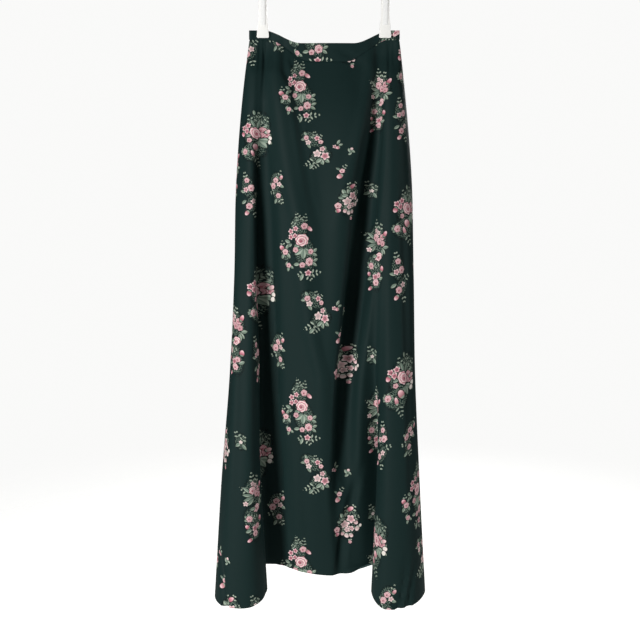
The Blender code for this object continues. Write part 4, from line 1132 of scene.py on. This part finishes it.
moulding, steel = whiteMoulding(), springSteel()
gripRibs = ribTree()
half, drop = hanger["bossWidth"] / 2, hanger["barDrop"]
boss = [(-half * share, rise - drop) for share, rise in hanger["bossOutline"]]
boss += [(-across, level) for across, level in reversed(boss)]
barPath = [(hanger["barHalf"] * (2 * step / hanger["barSteps"] - 1), -drop)
           for step in range(hanger["barSteps"] + 1)]
frameParts = [rodPiece("hook", hookPath(), hanger["rod"], moulding, (True, False)),
              rodPiece("bar", barPath, hanger["bar"], moulding, (False, False)),
              platePiece("boss", boss, -hanger["bossDepth"] / 2, hanger["bossDepth"] / 2, "Y", moulding,
                         hanger["bossEdge"])]
frameParts += [platePiece("backJaw", jawOutline(centre, drop), hanger["face"],
                          hanger["face"] + hanger["thickness"], "Y", moulding, hanger["edge"])
               for centre in (-hanger["clipOffset"], hanger["clipOffset"])]
hangerFrame = joined("hangerFrame", frameParts)
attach(hangerFrame, "root")
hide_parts("hanger_frame")

for side, centre in (("left", -hanger["clipOffset"]), ("right", hanger["clipOffset"])):
    front = -hanger["face"] - hanger["thickness"]
    plate = platePiece("plate", jawOutline(centre, hanger["jawTop"]), front, -hanger["face"], "Y", moulding,
                       hanger["edge"])
    root, radius, level = front + hanger["thickness"] / 2, hanger["pivotRadius"], -hanger["pivotDrop"]
    rib = [(root, level + radius)]
    rib += arc((hanger["face"] - hanger["clearance"] - radius, level), radius, 90, -90, hanger["pivotSteps"])
    rib += [(root, level - radius)]
    inset = hanger["pivotInset"]
    pivot = platePiece("pivot", rib, centre - hanger["halfHigh"] + inset, centre + hanger["halfHigh"] - inset,
                       "X", moulding, hanger["pivotEdge"])
    seat = polyline("ribs", [Vector((centre * mm, front * mm, -hanger["ribTop"] * mm))] * 2)
    ribs = plainMesh(seat, gripRibs, {
        "Count": hanger["ribs"], "Pitch": (0, 0, -hanger["ribPitch"] * mm), "Plastic": moulding,
        "Start": (centre * mm, front * mm, -hanger["ribTop"] * mm),
        "Length": (2 * hanger["halfHigh"] - hanger["ribShort"]) * mm, "Radius": hanger["ribRadius"] * mm})
    jaw = joined(f"{side}ClipJaw", [plate, pivot, ribs])
    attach(jaw, "root")
    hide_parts(f"clip_jaw_{side}")

    inside = hanger["face"] + hanger["thickness"] + hanger["clearance"]
    outside = inside + hanger["springThickness"]
    strip = [(-outside, -hanger["springEnd"])] + arc((0, -drop), outside, 180, 0, hanger["springSteps"])
    strip += [(outside, -hanger["springEnd"]), (inside, -hanger["springEnd"])]
    strip += arc((0, -drop), inside, 0, 180, hanger["springSteps"]) + [(-inside, -hanger["springEnd"])]
    spring = platePiece(f"{side}ClipSpring", strip, centre - hanger["spring"] / 2,
                        centre + hanger["spring"] / 2, "X", steel, hanger["springEdge"])
    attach(spring, "root")
    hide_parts(f"clip_spring_{side}")
print("hanger made")
# Studio: a pale floor, a tall soft light from the left, a low fill, and soft lights at the right
# and behind

studio = {
    "distance": 2.3, "tilt": 9.0, "aimHeight": -0.72, "frameWidth": 1.2416, "sideShift": -0.00625,
    "floorDrop": 1.45, "floorReach": 2.4, "floorGlow": 0.62,
    "fadeFrom": 0.4, "fadeTo": 0.8,  # metres, and a share of the floor's reach
    "aim": (0.0, 0.0, -0.75),
    "skyLight": 0.04, "skySeen": 0.97,
}
# Place, size and power of each soft light.
lights = {
    "windowLight": ((-1.85, -2.25, -0.35), (0.6, 1.6), 98.0),
    "fillLight": ((1.9, -2.2, 0.2), (2.0, 2.0), 5.0),
    "sideLight": ((2.5, -0.85, -0.3), (0.8, 1.6), 24.0),
    "backLight": ((1.0, 2.9, 0.5), (1.6, 1.6), 80.0),
}


def softLight(name, place, size, power):
    light = bpy.data.lights.new(name, "AREA")
    light.shape, light.size, light.size_y, light.energy = "RECTANGLE", *size, power
    lamp = bpy.data.objects.new(name, light)
    lamp.location = place
    lamp.rotation_euler = (Vector(studio["aim"]) - lamp.location).to_track_quat("-Z", "Y").to_euler()
    bpy.context.scene.collection.objects.link(lamp)


def paleFloor():
    # Matt white board that fades into the white surround, so that no horizon shows.
    reach = studio["floorReach"]
    mesh = bpy.data.meshes.new("paleFloor")
    level = -studio["floorDrop"]
    mesh.from_pydata([(-reach, -reach, level), (reach, -reach, level), (reach, reach, level),
                      (-reach, reach, level)], [], [(0, 1, 2, 3)])
    floor = bpy.data.objects.new("paleFloor", mesh)
    bpy.context.scene.collection.objects.link(floor)
    material = bpy.data.materials.new("matt white board")
    material.use_nodes = True
    tree = material.node_tree
    shader = tree.nodes["Principled BSDF"]
    shader.inputs["Base Color"].default_value = linear("#f2f2f0")
    shader.inputs["Roughness"].default_value = 0.9
    shader.inputs["Emission Color"].default_value = linear("#f2f2f0")
    seen = addNode(tree, "ShaderNodeLightPath").outputs["Is Camera Ray"]
    glow = addNode(tree, "ShaderNodeMath", {0: seen, 1: studio["floorGlow"]}, operation="MULTIPLY").outputs[0]
    tree.links.new(glow, shader.inputs["Emission Strength"])
    place = addNode(tree, "ShaderNodeTexCoord").outputs["Object"]
    level = addNode(tree, "ShaderNodeVectorMath", {0: place, 1: (1, 1, 0)}, operation="MULTIPLY").outputs[0]
    away = addNode(tree, "ShaderNodeVectorMath", {0: level}, operation="LENGTH").outputs["Value"]
    fade = addNode(tree, "ShaderNodeMapRange", {"Value": away, "From Min": studio["fadeFrom"],
                                               "From Max": reach * studio["fadeTo"]},
                   interpolation_type="SMOOTHSTEP").outputs[0]
    clear = addNode(tree, "ShaderNodeBsdfTransparent").outputs[0]
    both = addNode(tree, "ShaderNodeMixShader", {0: fade, 1: shader.outputs[0], 2: clear}).outputs[0]
    tree.links.new(both, tree.nodes["Material Output"].inputs["Surface"])
    mesh.materials.append(material)


def surround():
    # The camera sees white all round, while the cloth gets only a low, even fill from it.
    world = bpy.data.worlds.new("surround")
    bpy.context.scene.world = world
    world.use_nodes = True
    tree = world.node_tree
    tree.nodes.clear()
    seen = addNode(tree, "ShaderNodeLightPath").outputs["Is Camera Ray"]
    strength = addNode(tree, "ShaderNodeMapRange", {"Value": seen, "To Min": studio["skyLight"],
                                                   "To Max": studio["skySeen"]})
    white = addNode(tree, "ShaderNodeBackground", {"Color": linear("#fdfdfc"),
                                                   "Strength": strength.outputs[0]})
    addNode(tree, "ShaderNodeOutputWorld", {"Surface": white.outputs[0]})


def studioCamera():
    tilt = math.radians(studio["tilt"])
    camera = bpy.data.cameras.new("camera")
    camera.sensor_width = 36.0
    camera.lens = camera.sensor_width * studio["distance"] / studio["frameWidth"]
    camera.shift_x = studio["sideShift"]
    seat = bpy.data.objects.new("camera", camera)
    seat.location = (0.0, -studio["distance"] * math.cos(tilt),
                     studio["aimHeight"] + studio["distance"] * math.sin(tilt))
    seat.rotation_euler = (math.radians(90) - tilt, 0, 0)
    bpy.context.scene.collection.objects.link(seat)
    bpy.context.scene.camera = seat


bpy.context.scene.view_settings.view_transform = "Standard"
paleFloor()
surround()
for name, (place, size, power) in lights.items():
    softLight(name, place, size, power)
studioCamera()
print("studio set")
